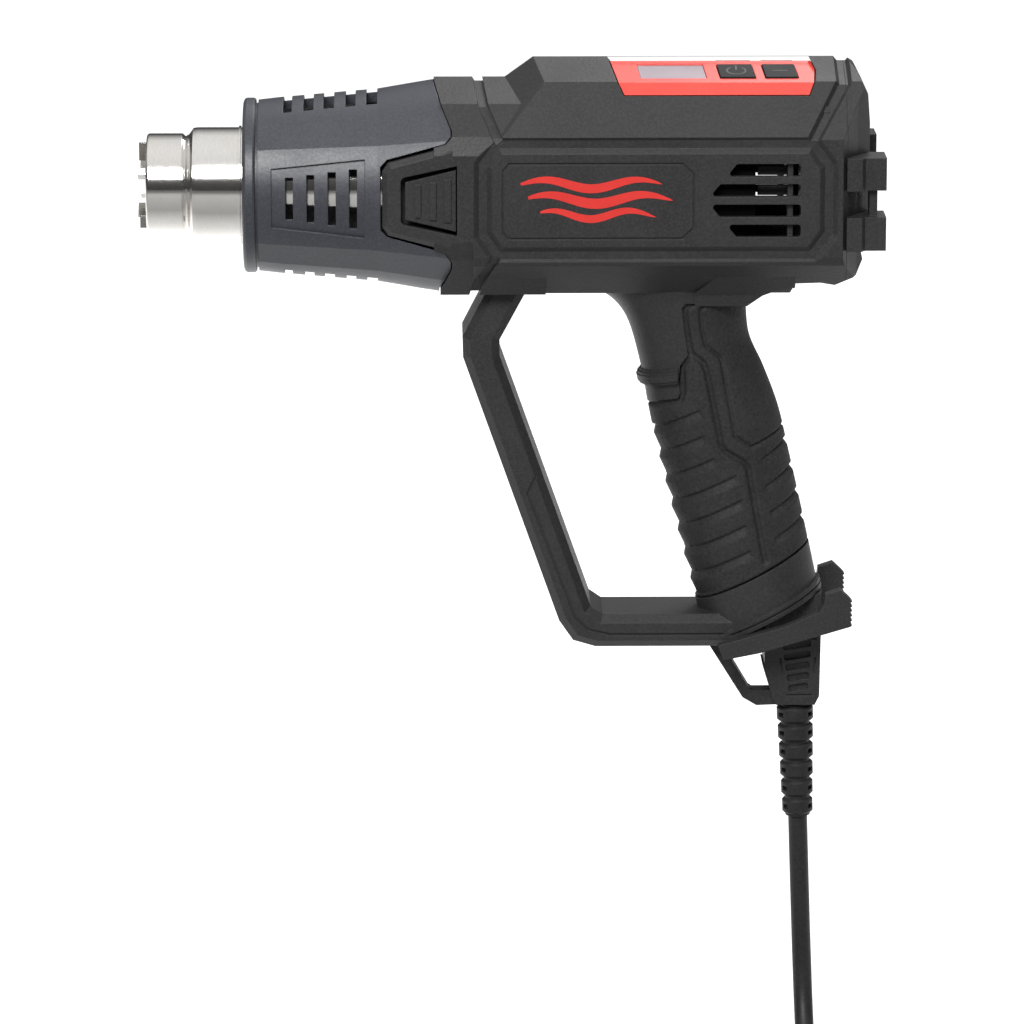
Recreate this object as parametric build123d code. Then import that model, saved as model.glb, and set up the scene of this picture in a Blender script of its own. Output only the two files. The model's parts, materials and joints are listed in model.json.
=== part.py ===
from build123d import *
import math
import os

# A hand-held electric heat gun. Millimetres, +Z up.
# The origin is the middle of the grip. The nozzle points along -X, and the two
# housing halves meet on the plane Y = 0 (left half at -Y, right half at +Y).
# A height written as an "h" value is measured from the barrel axis.

# ---------------------------------------------------------------- driving sizes
BARREL_Z = 83.8            # height of the barrel axis over the grip centre
WALL = 2.6                 # moulded wall of the housing
FIT = 0.3                  # gap between separate mouldings

NOZZLE_FRONT_X = -192.7
NOZZLE_R = 17.3            # push-on seat for accessory nozzles
NOZZLE_SEAT_END_X = -180.6
NOZZLE_BODY_R = 19.3
NOZZLE_REAR_X = -97.0
TUBE_WALL = 0.8

SHIELD_FRONT_X = -160.2
SHIELD_LIP_X = -156.0
SHIELD_BORE_R = 20.6       # front lip, clear of the nozzle tube
SHIELD_TRAVEL = 80.0

NECK_FRONT_X = -97.0
BODY_FRONT_X = -84.0
BODY_REAR_X = 39.0
REAR_FACE_X = 47.2
PANEL_Y = 33.0             # flat side of the body
RIDGE_H = 43.1             # crown of the body
NECK_RIDGE_H = 36.4
CREASE_Y = 18.5
CREASE_H = 37.3
SHOULDER_H = 20.3
SILL_H = -29.6             # raised underside behind the handle
BOTTOM_H = -33.5

GRIP_TILT = 15.5           # handle lean, degrees
GRIP_SKIN = 2.2            # soft grip over the hard core
GUARD_HALF_WIDTH = 15.0
GUARD_CHAMFER = 2.6

GROOVE_WIDTH = 3.2
GROOVE_DEPTH = 1.3
FRAME_FLOOR = 2.7          # floor and whole width of the side panels' frame channel
FRAME_WIDTH = 6.1
FRAME_DEPTH = 1.4

CORD_D = 6.5
FLOOR_Z = -240.0           # what the put-away end of the cord lies on
COIL_TURN_R = 38.5         # mean radius of the coil's turns
COIL_CENTRE = (1.0, -45.5)
COIL_LAYERS = 3
COIL_PITCH = 6.6           # from turn to turn, sideways and up
COIL_BASE_Z = FLOOR_Z + 0.5

MOTOR_R = 15.0
MOTOR_FRONT_X = -50.0
MOTOR_REAR_X = -14.0
SHAFT_R = 1.5
FAN_R = 25.0
FAN_FRONT_X = -9.0
FAN_REAR_X = 7.0
FAN_BLADES = 11


# ---------------------------------------------------------------- small helpers
def prism_x(outline, x0, x1):
    """An outline of (y, h) points about the barrel axis, from x0 to x1."""
    face = make_face(Polyline(*[(x0, y, BARREL_Z + h) for y, h in outline], close=True))
    return extrude(face, amount=x1 - x0, dir=(1, 0, 0))


def prism_y(outline, y0, y1, lift=0.0):
    """An outline of (x, z) points, from y0 to y1."""
    face = make_face(Polyline(*[(x, y0, z + lift) for x, z in outline], close=True))
    return extrude(face, amount=y1 - y0, dir=(0, 1, 0))


def prism_z(outline, z0, z1):
    """An outline of (x, y) points, from z0 to z1."""
    face = make_face(Polyline(*[(x, y, z0) for x, y in outline], close=True))
    return extrude(face, amount=z1 - z0, dir=(0, 0, 1))


def box_between(low, high):
    """A box from its lowest to its highest corner."""
    size = [b - a for a, b in zip(low, high)]
    middle = [(a + b) / 2 for a, b in zip(low, high)]
    return Pos(*middle) * Box(*size)


def barrel_disc(radius, x0, x1, y=0.0, h=0.0):
    """A round bar along X, centred on the barrel axis or beside it."""
    middle = Pos((x0 + x1) / 2, y, BARREL_Z + h)
    return middle * Rot(0, 90, 0) * Cylinder(radius, x1 - x0)


def barrel_ring(outer, inner, x0, x1):
    return barrel_disc(outer, x0, x1) - barrel_disc(inner, x0 - 1, x1 + 1)


def barrel_revolve(profile):
    """A closed outline of (x, radius) points turned about the barrel axis."""
    face = make_face(Polyline(*[(x, 0, BARREL_Z + r) for x, r in profile], close=True))
    return revolve(face, Axis((0, 0, BARREL_Z), (1, 0, 0)), 360)


def both_sides(outline):
    """A half outline of (y, h) points, from the top down, made whole."""
    mirrored = [(-y, h) for y, h in reversed(outline) if y > 0]
    return outline + mirrored


def mirror_y(shape):
    return mirror(shape, about=Plane.XZ)


def clip_half(shape, side):
    """The part of a shape on one side of the joint plane: -1 left, +1 right."""
    edge = 400
    low = min(0, side * edge)
    return shape & box_between((-edge, low, -edge), (edge, low + edge, edge))


def strip_y(points, width, y0, y1, closed=False):
    """A band of one width along (x, h) points, run from y0 to y1."""
    ends = list(zip(points, points[1:] + points[:1])) if closed else list(zip(points, points[1:]))
    band = None
    for (xa, ha), (xb, hb) in ends:
        length = math.hypot(xb - xa, hb - ha)
        turn = math.degrees(math.atan2(hb - ha, xb - xa))
        bar = Box(length, y1 - y0, width)
        place = Pos((xa + xb) / 2, (y0 + y1) / 2, BARREL_Z + (ha + hb) / 2)
        run = place * Rot(0, -turn, 0) * bar
        joint = Pos(xb, (y0 + y1) / 2, BARREL_Z + hb) * Rot(90, 0, 0) * Cylinder(width / 2, y1 - y0)
        band = run + joint if band is None else band + run + joint
    return band


# ---------------------------------------------------------------- the body's form
def body_section(inset=0.0):
    """The body's eight-sided section, with its crown, drawn in by an inset."""
    half = [(0, RIDGE_H), (CREASE_Y, CREASE_H), (PANEL_Y, SHOULDER_H)]
    half += [(PANEL_Y, -19.0), (31.6, -22.0), (CREASE_Y, BOTTOM_H), (0, BOTTOM_H)]
    return inset_outline(both_sides(half), inset)


def neck_section(inset=0.0):
    half = [(0, NECK_RIDGE_H), (21.4, 30.5), (31.0, 21.0), (PANEL_Y, 15.0)]
    half += [(PANEL_Y, -14.0), (31.0, -20.0), (21.0, BOTTOM_H), (0, BOTTOM_H)]
    return inset_outline(both_sides(half), inset)


def inset_outline(outline, inset):
    """A convex outline with every side moved inwards by one distance."""
    if inset == 0:
        return outline
    sides = []
    count = len(outline)
    for i in range(count):
        ya, ha = outline[i]
        yb, hb = outline[(i + 1) % count]
        length = math.hypot(yb - ya, hb - ha)
        ny, nh = (hb - ha) / length, (ya - yb) / length
        reach = ny * ya + nh * ha
        if reach < 0:
            ny, nh, reach = -ny, -nh, -reach
        if not sides or abs(sides[-1][0] - ny) + abs(sides[-1][1] - nh) > 1e-6:
            sides.append((ny, nh, reach - inset))
    corners = []
    for (n1, m1, r1), (n2, m2, r2) in zip(sides, sides[1:] + sides[:1]):
        det = n1 * m2 - n2 * m1
        if abs(det) > 1e-9:
            corners.append(((r1 * m2 - r2 * m1) / det, (n1 * r2 - n2 * r1) / det))
    return corners


REAR_PLAN = [(37.6, PANEL_Y), (42.9, 23.5), (REAR_FACE_X, 17.5)]
REAR_SIDE = [(39.5, 43.4), (43.0, 39.9), (46.4, 33.2), (REAR_FACE_X, 23.4), (REAR_FACE_X, -14.5), (44.0, -17.4),
             (45.0, -21.8), (42.7, -26.5), (35.8, -30.3), (31.0, SILL_H + 0.3), (22.8, SILL_H), (21.2, BOTTOM_H)]


def rear_bounds(inset=0.0):
    """What the raking rear corners and the raised sill leave of the body."""
    back = 0.55 * inset
    plan = [(x - back, y) for x, y in REAR_PLAN]
    plan = [(-200, 40), (plan[0][0], 40)] + plan + [(x, -y) for x, y in reversed(plan)]
    plan += [(plan[2][0], -40), (-200, -40)]
    side = [(-200, 60), (REAR_SIDE[0][0] - back, 60)]
    side += [(x - back, h - inset if h > 0 else h + inset) for x, h in REAR_SIDE]
    side += [(REAR_SIDE[-1][0] - back, -60), (-200, -60)]
    return prism_z(plan, 0, 200) & prism_y(side, -60, 60, BARREL_Z)


def body_form(inset=0.0):
    """Body and neck as one closed solid. The body's brow leans back from the neck."""
    body = prism_x(body_section(inset), BODY_FRONT_X + inset, BODY_REAR_X) & rear_bounds(inset)
    low = (-72.8 + inset, 0, BARREL_Z + NECK_RIDGE_H + 0.4 - inset)
    top = (-64.0 + inset, 0, BARREL_Z + RIDGE_H - inset)
    for side in (-1, 1):
        edge = (-68.4 + inset, side * 20.5, BARREL_Z + 30.7 - inset)
        brow = Plane(origin=low, x_dir=Vector(*top) - Vector(*low),
                     z_dir=(Vector(*top) - Vector(*low)).cross(Vector(*edge) - Vector(*low)) * side)
        facing = 1 if brow.z_dir.X < 0 else -1
        cutter = brow * Pos(0, 0, facing * 50) * Box(200, 200, 100)
        body -= cutter
    neck = prism_x(neck_section(inset), NECK_FRONT_X + inset, -60)
    return body + neck


PANEL_FRAME = [(-76.0, 18.6), (-80.9, 11.7), (-80.9, -11.3), (-76.0, -18.4),
               (27.6, -18.4), (33.0, -11.0), (33.0, 11.3), (27.7, 18.6)]


def frame_block(grow_floor, grow_top):
    """A flared block over the side panel, from the channel's floor outwards."""
    rise = 1.0 + 1.0 / FRAME_DEPTH
    low = inset_outline(PANEL_FRAME, -grow_floor)
    high = inset_outline(PANEL_FRAME, -(grow_floor + (grow_top - grow_floor) * rise))
    floor_y = PANEL_Y - FRAME_DEPTH
    faces = []
    for outline, y in ((low, floor_y), (high, floor_y + FRAME_DEPTH * rise)):
        faces.append(make_face(Polyline(*[(x, y, BARREL_Z + h) for x, h in outline], close=True)))
    return loft(faces, ruled=True)


def frame_channel():
    """The sloping-sided channel that frames each side panel."""
    channel = frame_block(FRAME_FLOOR / 2, FRAME_WIDTH / 2) - frame_block(-FRAME_FLOOR / 2, -FRAME_WIDTH / 2)
    return channel + mirror_y(channel)


def surface_channel(start, end, normal, half_widths):
    """A sloping-sided channel between two points of a flat (x, y, h) surface."""
    a, b = [Vector(x, y, BARREL_Z + h) for x, y, h in (start, end)]
    ends = []
    for point, half in zip((a, b), half_widths):
        plane = Plane(origin=point, x_dir=Vector(*normal), z_dir=b - a)
        floor = half - 1.2
        outline = [(-FRAME_DEPTH, -floor), (1.4, -half - 1.2), (1.4, half + 1.2), (-FRAME_DEPTH, floor)]
        ends.append(make_face(Polyline(*[plane.from_local_coords(Vector(u, v, 0)) for u, v in outline], close=True)))
    channel = loft(ends, ruled=True)
    return channel + mirror_y(channel)


def v_groove_bands():
    """The narrower bands round the neck, seen from the side."""
    wide = 60
    bands = strip_y([(-83.6, 40.0), (-80.5, 29.5), (-75.6, 19.5)], GROOVE_WIDTH, -wide, wide)
    bands += strip_y([(-76.4, -18.6), (-82.6, -29.5), (-84.6, -37.0)], GROOVE_WIDTH, -wide, wide)
    return bands


def rear_channels():
    """The channel that runs over the crown and down each shoulder to the frame."""
    rise, run = CREASE_H - SHOULDER_H, PANEL_Y - CREASE_Y
    channels = surface_channel((38.4, CREASE_Y, CREASE_H), (27.6, PANEL_Y + 0.3, SHOULDER_H - 0.35),
                               (0, rise, run), (2.6, 2.2))
    rise, run = RIDGE_H - CREASE_H, CREASE_Y
    channels += surface_channel((38.4, -0.5, RIDGE_H + 0.16), (38.4, CREASE_Y + 0.5, CREASE_H - 0.16),
                                (0, rise, run), (2.6, 2.6))
    return channels


# ---------------------------------------------------------------- the handle's form
# Stations down the handle: distance from the grip centre, front, back, half width.
HANDLE_STATIONS = [
    (-66.0, -36.0, 24.0, 22.0),
    (-57.0, -26.5, 22.5, 19.8),
    (-49.0, -21.6, 20.6, 18.3),
    (-40.0, -20.4, 18.8, 17.4),
    (-30.0, -20.6, 17.2, 17.0),
    (-18.0, -21.6, 18.9, 17.2),
    (-4.0, -22.6, 20.2, 17.5),
    (12.0, -23.2, 19.7, 17.5),
    (30.0, -23.6, 18.9, 17.5),
    (52.0, -23.9, 17.7, 17.5),
    (80.0, -24.2, 17.2, 17.5),
]


def grip_place(along, across):
    """The point (x, z) at a distance down the handle's axis and across it."""
    lean = math.radians(GRIP_TILT)
    x = along * math.sin(lean) + across * math.cos(lean)
    z = -along * math.cos(lean) + across * math.sin(lean)
    return x, z


def handle_form(inset=0.0):
    """The handle as a loft of leaning ellipses, drawn in by an inset."""
    rings = []
    for along, front, back, half_width in HANDLE_STATIONS:
        x, z = grip_place(along, (front + back) / 2)
        plane = Plane(origin=(x, 0, z)).rotated((0, -GRIP_TILT, 0))
        rings.append(plane * Ellipse((back - front) / 2 - inset, half_width - inset))
    return loft(rings)


HANDLE_END = [(-3.0, -72.4), (40.0, -50.5)]      # the handle's cut-off lower end
GRIP_SEAM = [(-6.3, -56.4), (29.4, -38.0)]       # where the soft grip stops


def below_line(line, drop=0.0, depth=120):
    """Everything under a slanting (x, z) line, as a prism across the gun."""
    (xa, za), (xb, zb) = line
    slope = (zb - za) / (xb - xa)
    left, right = -90, 120
    za_far = za + slope * (left - xa) - drop
    zb_far = za + slope * (right - xa) - drop
    return prism_y([(left, za_far), (right, zb_far), (right, zb_far - depth), (left, za_far - depth)], -60, 60)


def grip_region():
    """The side outline of the soft grip, from the top plate down to its lower seam."""
    outline = [(22.0, 49.0), (-2.0, 53.0), (-9.7, 51.1), (-12.0, 48.1), (-14.7, 45.0), (-14.3, 40.9), (-12.5, 28.9),
               (-15.1, 25.0), (-15.4, 20.1), (-15.0, 15.6), (-15.7, 13.8), (-21.5, 12.3), (-25.2, 10.6), (-40.0, 7.0)]
    outline += [(-60.0, -84.0), (90.0, -84.0), (90.0, 49.0)]
    return prism_y(outline, -40, 40) - below_line(GRIP_SEAM)


def soft_grip(side):
    """Soft skin moulded round one half of the handle's core."""
    skin = handle_form() - handle_form(GRIP_SKIN)
    skin = skin & grip_region()
    skin = skin - prism_y([(-60, 46.5), (60, 46.5), (60, 120), (-60, 120)], -60, 60)
    for step in range(7):
        x, z = grip_place(-10.5 + 8.3 * step, -26.0)
        skin -= Pos(x, 0, z) * Rot(0, -24, 0) * Box(8, 50, 3.4)
    return clip_half(skin, side)


def handle_root():
    """The raised plate under the body that the back of the handle flares into."""
    side = [(-2.5, 58.0), (22.7, 58.0), (22.7, 52.6), (16.5, 51.4), (12.0, 49.4), (7.0, 45.6),
            (-10.4, 45.6), (-10.4, 50.2)]
    section = both_sides([(0, -20.0), (27.4, -25.4), (19.5, -34.2), (17.6, -38.6), (0, -38.6)])
    return prism_y(side, -30, 30) & prism_x(section, -40, 40)


def finger_stop():
    """The rounded band across the front of the handle, over the first finger."""
    x, z = grip_place(-24.0, 0)
    front = box_between((-60, -40, 0), (-15.9, 40, 60))
    band = None
    for proud, height in ((2.1, 2.2), (1.6, 3.9), (0.7, 5.4)):
        slab = Pos(x, 0, z) * Rot(0, -GRIP_TILT + 4, 0) * Box(90, 60, height)
        layer = handle_form(-proud) & slab
        band = layer if band is None else band + layer
    return (band & front) - handle_form(1.5)


def handle_rim():
    """The raised band round the handle's lower end, in line with the guard's bar."""
    slab = below_line(HANDLE_END, -3.6) - below_line(HANDLE_END)
    behind = box_between((0, -40, -90), (60, 40, 0))
    band = (handle_form(-1.2) - handle_form(1.5)) & slab & behind
    line = below_line(HANDLE_END, -2.3) - below_line(HANDLE_END, -1.6)
    return band - ((line & band) - handle_form(-0.5))


def guard_form(inset=0.0):
    """The closed hand guard: strut, lower bar and rounded corner."""
    outer = [(-76.5, 56.0), (-87.6, 34.5), (-87.4, 27.5), (-55.2, -63.0), (-50.5, -69.8), (-43.0, -72.0),
             (9.0, -72.0), (12.0, -66.0)]
    inner = [(12.0, -60.8), (-40.5, -60.8), (-44.6, -58.0), (-75.2, 28.0), (-75.2, 33.5), (-63.0, 56.0)]
    path = outer + inner
    bar = prism_y(path, -GUARD_HALF_WIDTH + inset, GUARD_HALF_WIDTH - inset)
    return bar


def guard_solid():
    """The guard with its long edges taken off."""
    bar = guard_form()
    for side in (-1, 1):
        face = bar.faces().sort_by(Axis.Y)[-1 if side > 0 else 0]
        edges = [edge for edge in face.edges() if edge.length > 4.5 and edge.center().Z < 50]
        bar = chamfer(edges, GUARD_CHAMFER)
    return bar


def guard_groove():
    """The shallow line that follows the guard's outer edge."""
    line = [(-60.5, -10.5), (-63.4, -13.5), (-65.8, -18.5)]
    line += [(-49.6, -61.5), (-45.5, -65.6), (-38.0, -67.4), (0.0, -67.4)]
    return [(x, z - BARREL_Z) for x, z in line]


# ---------------------------------------------------------------- openings in the shell
VENT_ROWS = [(-0.8, 10.1, 1), (-6.3, 3.4, 1), (-6.3, -3.4, -1), (-0.8, -10.1, -1)]
VENT_HALF_HEIGHT = 2.1
VENT_REAR_X = 23.7


def vent_slots():
    """Four slanted air inlets through each side wall."""
    slots = None
    for front_x, h, lean in VENT_ROWS:
        top_x = front_x + (3.4 if lean > 0 else 0)
        low_x = front_x + (0 if lean > 0 else 3.4)
        outline = [(top_x, h + VENT_HALF_HEIGHT), (VENT_REAR_X, h + VENT_HALF_HEIGHT),
                   (VENT_REAR_X, h - VENT_HALF_HEIGHT), (low_x, h - VENT_HALF_HEIGHT)]
        slot = prism_y(outline, -60, 60, BARREL_Z)
        slot = fillet(slot.edges().filter_by(Axis.Y), 1.0)
        slots = slot if slots is None else slots + slot
    return slots


LATCH_REAR_X = -89.4
LATCH_FRONT_X = -106.4
LATCH_ROOT_GAP = 0.4
LATCH_GAP = 1.5            # open on the latch's front, top and bottom


def latch_outline(grow=0.0):
    """The snap latch seen from the side: a tapering tab, (x, h)."""
    rear = LATCH_REAR_X if grow > 0 else LATCH_REAR_X - LATCH_ROOT_GAP
    return [(LATCH_FRONT_X - grow, 6.2 + grow), (rear, 10.2 + grow),
            (rear, -10.2 - grow), (LATCH_FRONT_X - grow, -6.2 - grow)]


def latch_window(side):
    """The round-cornered opening that a latch sits in."""
    window = prism_y(latch_outline(LATCH_GAP), 27, 60, BARREL_Z)
    corners = [edge for edge in window.edges().filter_by(Axis.Y) if edge.center().X < LATCH_FRONT_X]
    window = fillet(corners, 1.8)
    return window if side > 0 else mirror_y(window)


def latch_tab(side):
    """One snap latch, with three upright thumb ribs."""
    y0, y1 = (PANEL_Y - 2.4, PANEL_Y - 0.4)
    tab = prism_y(latch_outline(), y0, y1, BARREL_Z)
    for front, rear, half in ((-103.2, -101.3, 5.4), (-98.3, -96.3, 6.2), (-93.7, -91.4, 7.0)):
        tab += box_between((front, y0, BARREL_Z - half), (rear, PANEL_Y + 0.3, BARREL_Z + half))
    root_x = LATCH_REAR_X - LATCH_ROOT_GAP
    tab += box_between((root_x - 1, PANEL_Y - 6.5, BARREL_Z - 4), (root_x, y1, BARREL_Z + 4))
    return tab if side > 0 else mirror_y(tab)


TONGUE = [(-114.0, 9.6), (-112.0, 12.4), (-91.0, 18.0), (-91.0, -17.2), (-112.0, -11.6), (-114.0, -8.8)]


def tongue_plates():
    """The two cheeks of the neck that reach forward into the heat shield's notches."""
    plate = prism_y(TONGUE, 28.6, PANEL_Y, BARREL_Z)
    rim = plate.faces().sort_by(Axis.Y)[-1].edges()
    plate = chamfer([edge for edge in rim if edge.center().X < -95], 1.7)
    return plate + mirror_y(plate)


def spigot():
    """The round collar that carries the heat shield."""
    return barrel_ring(28.4, 25.8, -112.0, NECK_FRONT_X + 4)


PANEL_SIDE = [(-39.4, 43.0), (-33.2, 31.0), (26.0, 31.0), (28.9, 37.3), (29.6, 39.8), (27.6, 43.0)]


def panel_section(top_drop, under):
    """The control panel's roof-shaped section: its face, and how thick it is."""
    half = [(0, 41.5 - top_drop), (CREASE_Y, 37.0 - top_drop), (21.8, 33.4 - top_drop)]
    inside = [(20.0, 31.9 - top_drop), (CREASE_Y - 0.8, 37.0 - top_drop - under), (0, 41.5 - top_drop - under)]
    ring = half + inside
    return ring + [(-y, h) for y, h in reversed(ring) if y > 0]


def panel_pocket():
    """Room for the control panel in the crown of the body."""
    grown = [(0, 60), (49.2, 60), (22.1, 33.1), (20.0, 31.3), (CREASE_Y - 1.3, 34.6), (0, 39.1)]
    pocket = prism_x(both_sides(grown), -60, 60)
    return pocket & prism_y(PANEL_SIDE, -60, 60, BARREL_Z)


BOSSES = [(-87.0, 27.5), (-87.0, -27.5), (28.6, 26.4), (29.0, -22.6)]
BOSS_R = 5.2
HANDLE_BOSSES = [(-12.0, 38.0), (1.0, -6.0), (14.0, -46.0)]
GUARD_BOSSES = [(-77.5, 14.0), (-61.5, -31.0), (-30.0, -66.4)]


def boss_places():
    """Every housing screw, as (x, z)."""
    places = [(x, BARREL_Z + h) for x, h in BOSSES]
    return places + HANDLE_BOSSES + GUARD_BOSSES


def bosses():
    """Screw pillars between the two walls."""
    pillars = None
    for x, h in BOSSES:
        pillar = Pos(x, 0, BARREL_Z + h) * Rot(90, 0, 0) * Cylinder(BOSS_R, 50)
        pillars = pillar if pillars is None else pillars + pillar
    for x, z in HANDLE_BOSSES:
        pillars += Pos(x, 0, z) * Rot(90, 0, 0) * Cylinder(BOSS_R, 28)
    return pillars


def board_guides():
    """An upright rib inside each side wall, behind the fan, with two baffle bars."""
    guide = box_between((19.4, 23.0, BARREL_Z - 16), (21.2, PANEL_Y - WALL + 0.2, BARREL_Z + 15))
    for low, high in ((7.2, 10.2), (0.5, 3.5)):
        guide += box_between((9.8, 23.0, BARREL_Z + low), (19.6, 25.0, BARREL_Z + high))
    return guide + mirror_y(guide)


def screw_holes():
    """Through holes and counterbores, entered from the right half."""
    holes = None
    for x, z in boss_places():
        shaft = Pos(x, 0, z) * Rot(90, 0, 0) * Cylinder(1.7, 26)
        head = Pos(x, 32, z) * Rot(90, 0, 0) * Cylinder(3.6, 48)
        both = shaft + head
        holes = both if holes is None else holes + both
    return holes


def inner_space():
    """The hollow inside the housing: body, neck, handle and guard."""
    space = body_form(WALL) & box_between((-95, -60, 0), (60, 60, 200))
    space += barrel_disc(25.8, -120, -90)
    space += prism_x(body_section(WALL), -30, BODY_REAR_X + 1) & rear_bounds(WALL)
    hollow = handle_form(GRIP_SKIN + WALL)
    hollow = hollow - below_line(HANDLE_END, -3.0)
    space += hollow
    tail_hole = Pos(24.0, 0, -62) * Cylinder(7.2, 30)
    space += tail_hole
    return space


def core_form():
    """The handle's hard core: full size outside the grip, drawn in under it."""
    full = handle_form() & box_between((-60, -40, -80), (60, 40, BARREL_Z + BOTTOM_H + 1))
    skin = handle_form(-1) - handle_form(GRIP_SKIN + 0.02)
    skin = skin & grip_region()
    skin = skin & box_between((-60, -40, -90), (60, 40, 46.5))
    return full - skin


def housing_outside():
    """The whole outer form of both halves, grooves cut."""
    outside = body_form()
    bands = v_groove_bands()
    outside -= bands - body_form(GROOVE_DEPTH)
    outside -= frame_channel()
    outside -= rear_channels()
    outside -= shield_room()
    outside += tongue_plates()
    outside += spigot()
    return outside


def badge_groove():
    """The fine line round the badge field on each side."""
    frame = [(-72.3, 12.3), (-74.3, 10.0), (-74.3, -10.4), (-72.3, -12.6),
             (-15.2, -12.6), (-11.5, -9.0), (-11.5, 9.0), (-15.2, 12.3)]
    line = strip_y(frame, 0.7, PANEL_Y - 0.5, PANEL_Y + 2, closed=True)
    return line + mirror_y(line)


def housing_half(side):
    """One half of the clamshell housing."""
    shell = clip_half(housing_outside(), side)
    shell -= clip_half(inner_space(), side)
    grip = clip_half(core_form(), side)
    grip += clip_half(handle_root(), side) - (handle_form(0.0) & grip_region())
    grip = grip - below_line(HANDLE_END)
    grip -= clip_half(inner_space(), side)
    grip -= prism_x(body_section(WALL), -80, BODY_REAR_X)
    guard = clip_half(guard_solid(), side) - handle_form(0.2)
    guard -= prism_x(body_section(1.0), -100, BODY_REAR_X)
    guard -= below_line(HANDLE_END)
    half = shell + grip + guard + clip_half(finger_stop(), side) + clip_half(handle_rim(), side)
    inside = clip_half(bosses(), side) & (body_form(1.0) + handle_form(GRIP_SKIN + 1.0))
    half += inside
    half -= vent_slots()
    half += clip_half(board_guides(), side)
    half -= panel_pocket()
    half -= latch_window(side)
    half -= badge_groove()
    half -= strip_y(guard_groove(), 0.9, GUARD_HALF_WIDTH - 0.6, 40)
    half -= strip_y(guard_groove(), 0.9, -40, -GUARD_HALF_WIDTH + 0.6)
    half -= screw_holes()
    return half


# ---------------------------------------------------------------- rear end
def rear_cover():
    """The cap that closes the back of the body, with its raking corners."""
    seam = BODY_REAR_X + 0.04
    cap = prism_x(body_section(), seam, REAR_FACE_X + 2) & rear_bounds()
    hollow = prism_x(body_section(WALL + 2.5), BODY_REAR_X - 1, 43.0) & rear_bounds(WALL)
    cap -= hollow & prism_y([(30, 34), (41.5, 31), (41.5, -13), (30, -22)], -60, 60, BARREL_Z)
    for h in (-7.0, -2.3, 2.4, 7.1):
        cap -= box_between((30, -11, BARREL_Z + h - 1.2), (60, 11, BARREL_Z + h + 1.2))
    lip = prism_x(body_section(WALL + FIT), 34.6, seam + 0.1) & rear_bounds(WALL + FIT)
    lip -= prism_x(body_section(WALL + 2.4), 30, 45) & rear_bounds(WALL + 2.4)
    cap += lip
    cap -= rear_channels()
    return cap


FOOT_BLOCKS = ((2.9, 13.7), (-17.2, -6.0))


def rear_stand(side):
    """Two standing blocks joined by a bar: the gun stands nozzle-up on them."""
    stand = box_between((46.6, 20.5, BARREL_Z - 7), (49.2, 28.0, BARREL_Z + 4))
    for low, high in FOOT_BLOCKS:
        outline = [(38.9, 26.4), (38.9, 33.0), (43.9, 33.0), (45.0, 31.0), (52.0, 31.0), (52.0, 17.8),
                   (REAR_FACE_X + 0.05, 17.8), (42.9, 23.6), (41.3, 26.4)]
        block = prism_z(outline, BARREL_Z + low, BARREL_Z + high)
        stand += block
    cover = [(30, 34), (37.65, PANEL_Y + 0.1), (42.95, 23.6), (REAR_FACE_X + 0.04, 17.6), (30, 17)]
    stand -= prism_z(cover, 0, 200)
    return stand if side > 0 else mirror_y(stand)


# ---------------------------------------------------------------- control panel
def slope_plane(side):
    """A plane on one slope of the control panel, its origin on the ridge."""
    angle = math.degrees(math.atan2(4.5, CREASE_Y))
    return Plane(origin=(0, 0, BARREL_Z + 41.5)).rotated((-side * angle, 0, 0))


def on_slope(side, x0, x1, y0, y1, z0, z1, skew=0.0):
    """A block on a slope: x along the gun, y down the slope, z out of it."""
    outline = [(x0, side * y0), (x1, side * y0), (x1 + skew, side * y1), (x0 + skew, side * y1)]
    face = make_face(Polyline(*[(x, y, z0) for x, y in outline], close=True))
    block = extrude(face, amount=z1 - z0, dir=(0, 0, 1))
    return slope_plane(side) * block


LCD = (-29.6, -7.6, 3.2, 15.4)
BUTTON_SKEW = 1.0
FRONT_BUTTON = (-3.4, 8.7, 4.0, 15.6)
REAR_BUTTON = (11.6, 22.8, 4.0, 15.6)


def control_panel():
    """The red fascia over the crown, with wells for the display and four buttons."""
    panel = prism_x(panel_section(0.0, 2.0), -50, 50)
    panel = panel & prism_y([(x + (0.3 if x < 0 else -0.3), h) for x, h in PANEL_SIDE], -60, 60, BARREL_Z)
    x0, x1, y0, y1 = LCD
    panel -= on_slope(-1, x0, x1, y0, y1, -6, 6, BUTTON_SKEW)
    for side in (-1, 1):
        for x0, x1, y0, y1 in (FRONT_BUTTON, REAR_BUTTON):
            panel -= on_slope(side, x0, x1, y0, y1, -6, 6, BUTTON_SKEW)
    return panel


def push_button(side, place):
    """One rocker-shaped push button in its well."""
    x0, x1, y0, y1 = place
    cap = on_slope(side, x0 + FIT, x1 - FIT, y0 + FIT, y1 - FIT, -1.4, 0.5, BUTTON_SKEW)
    flange = on_slope(side, x0 - 0.7, x1 + 0.7, y0 - 0.7, y1 - 0.4, -3.3, -2.35, BUTTON_SKEW)
    stem = on_slope(side, x0 + 2, x1 - 2, y0 + 2, y1 - 2, -2.4, -1.3, BUTTON_SKEW)
    return cap + flange + stem


def lcd_window():
    x0, x1, y0, y1 = LCD
    return on_slope(-1, x0 + 0.15, x1 - 0.15, y0 + 0.15, y1 - 0.15, -1.6, -0.3, BUTTON_SKEW)


def lcd_module():
    x0, x1, y0, y1 = LCD
    return on_slope(-1, x0 - 1, x1 + 1, y0 - 0.8, y1 + 0.4, -4.2, -2.2, BUTTON_SKEW)


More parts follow.
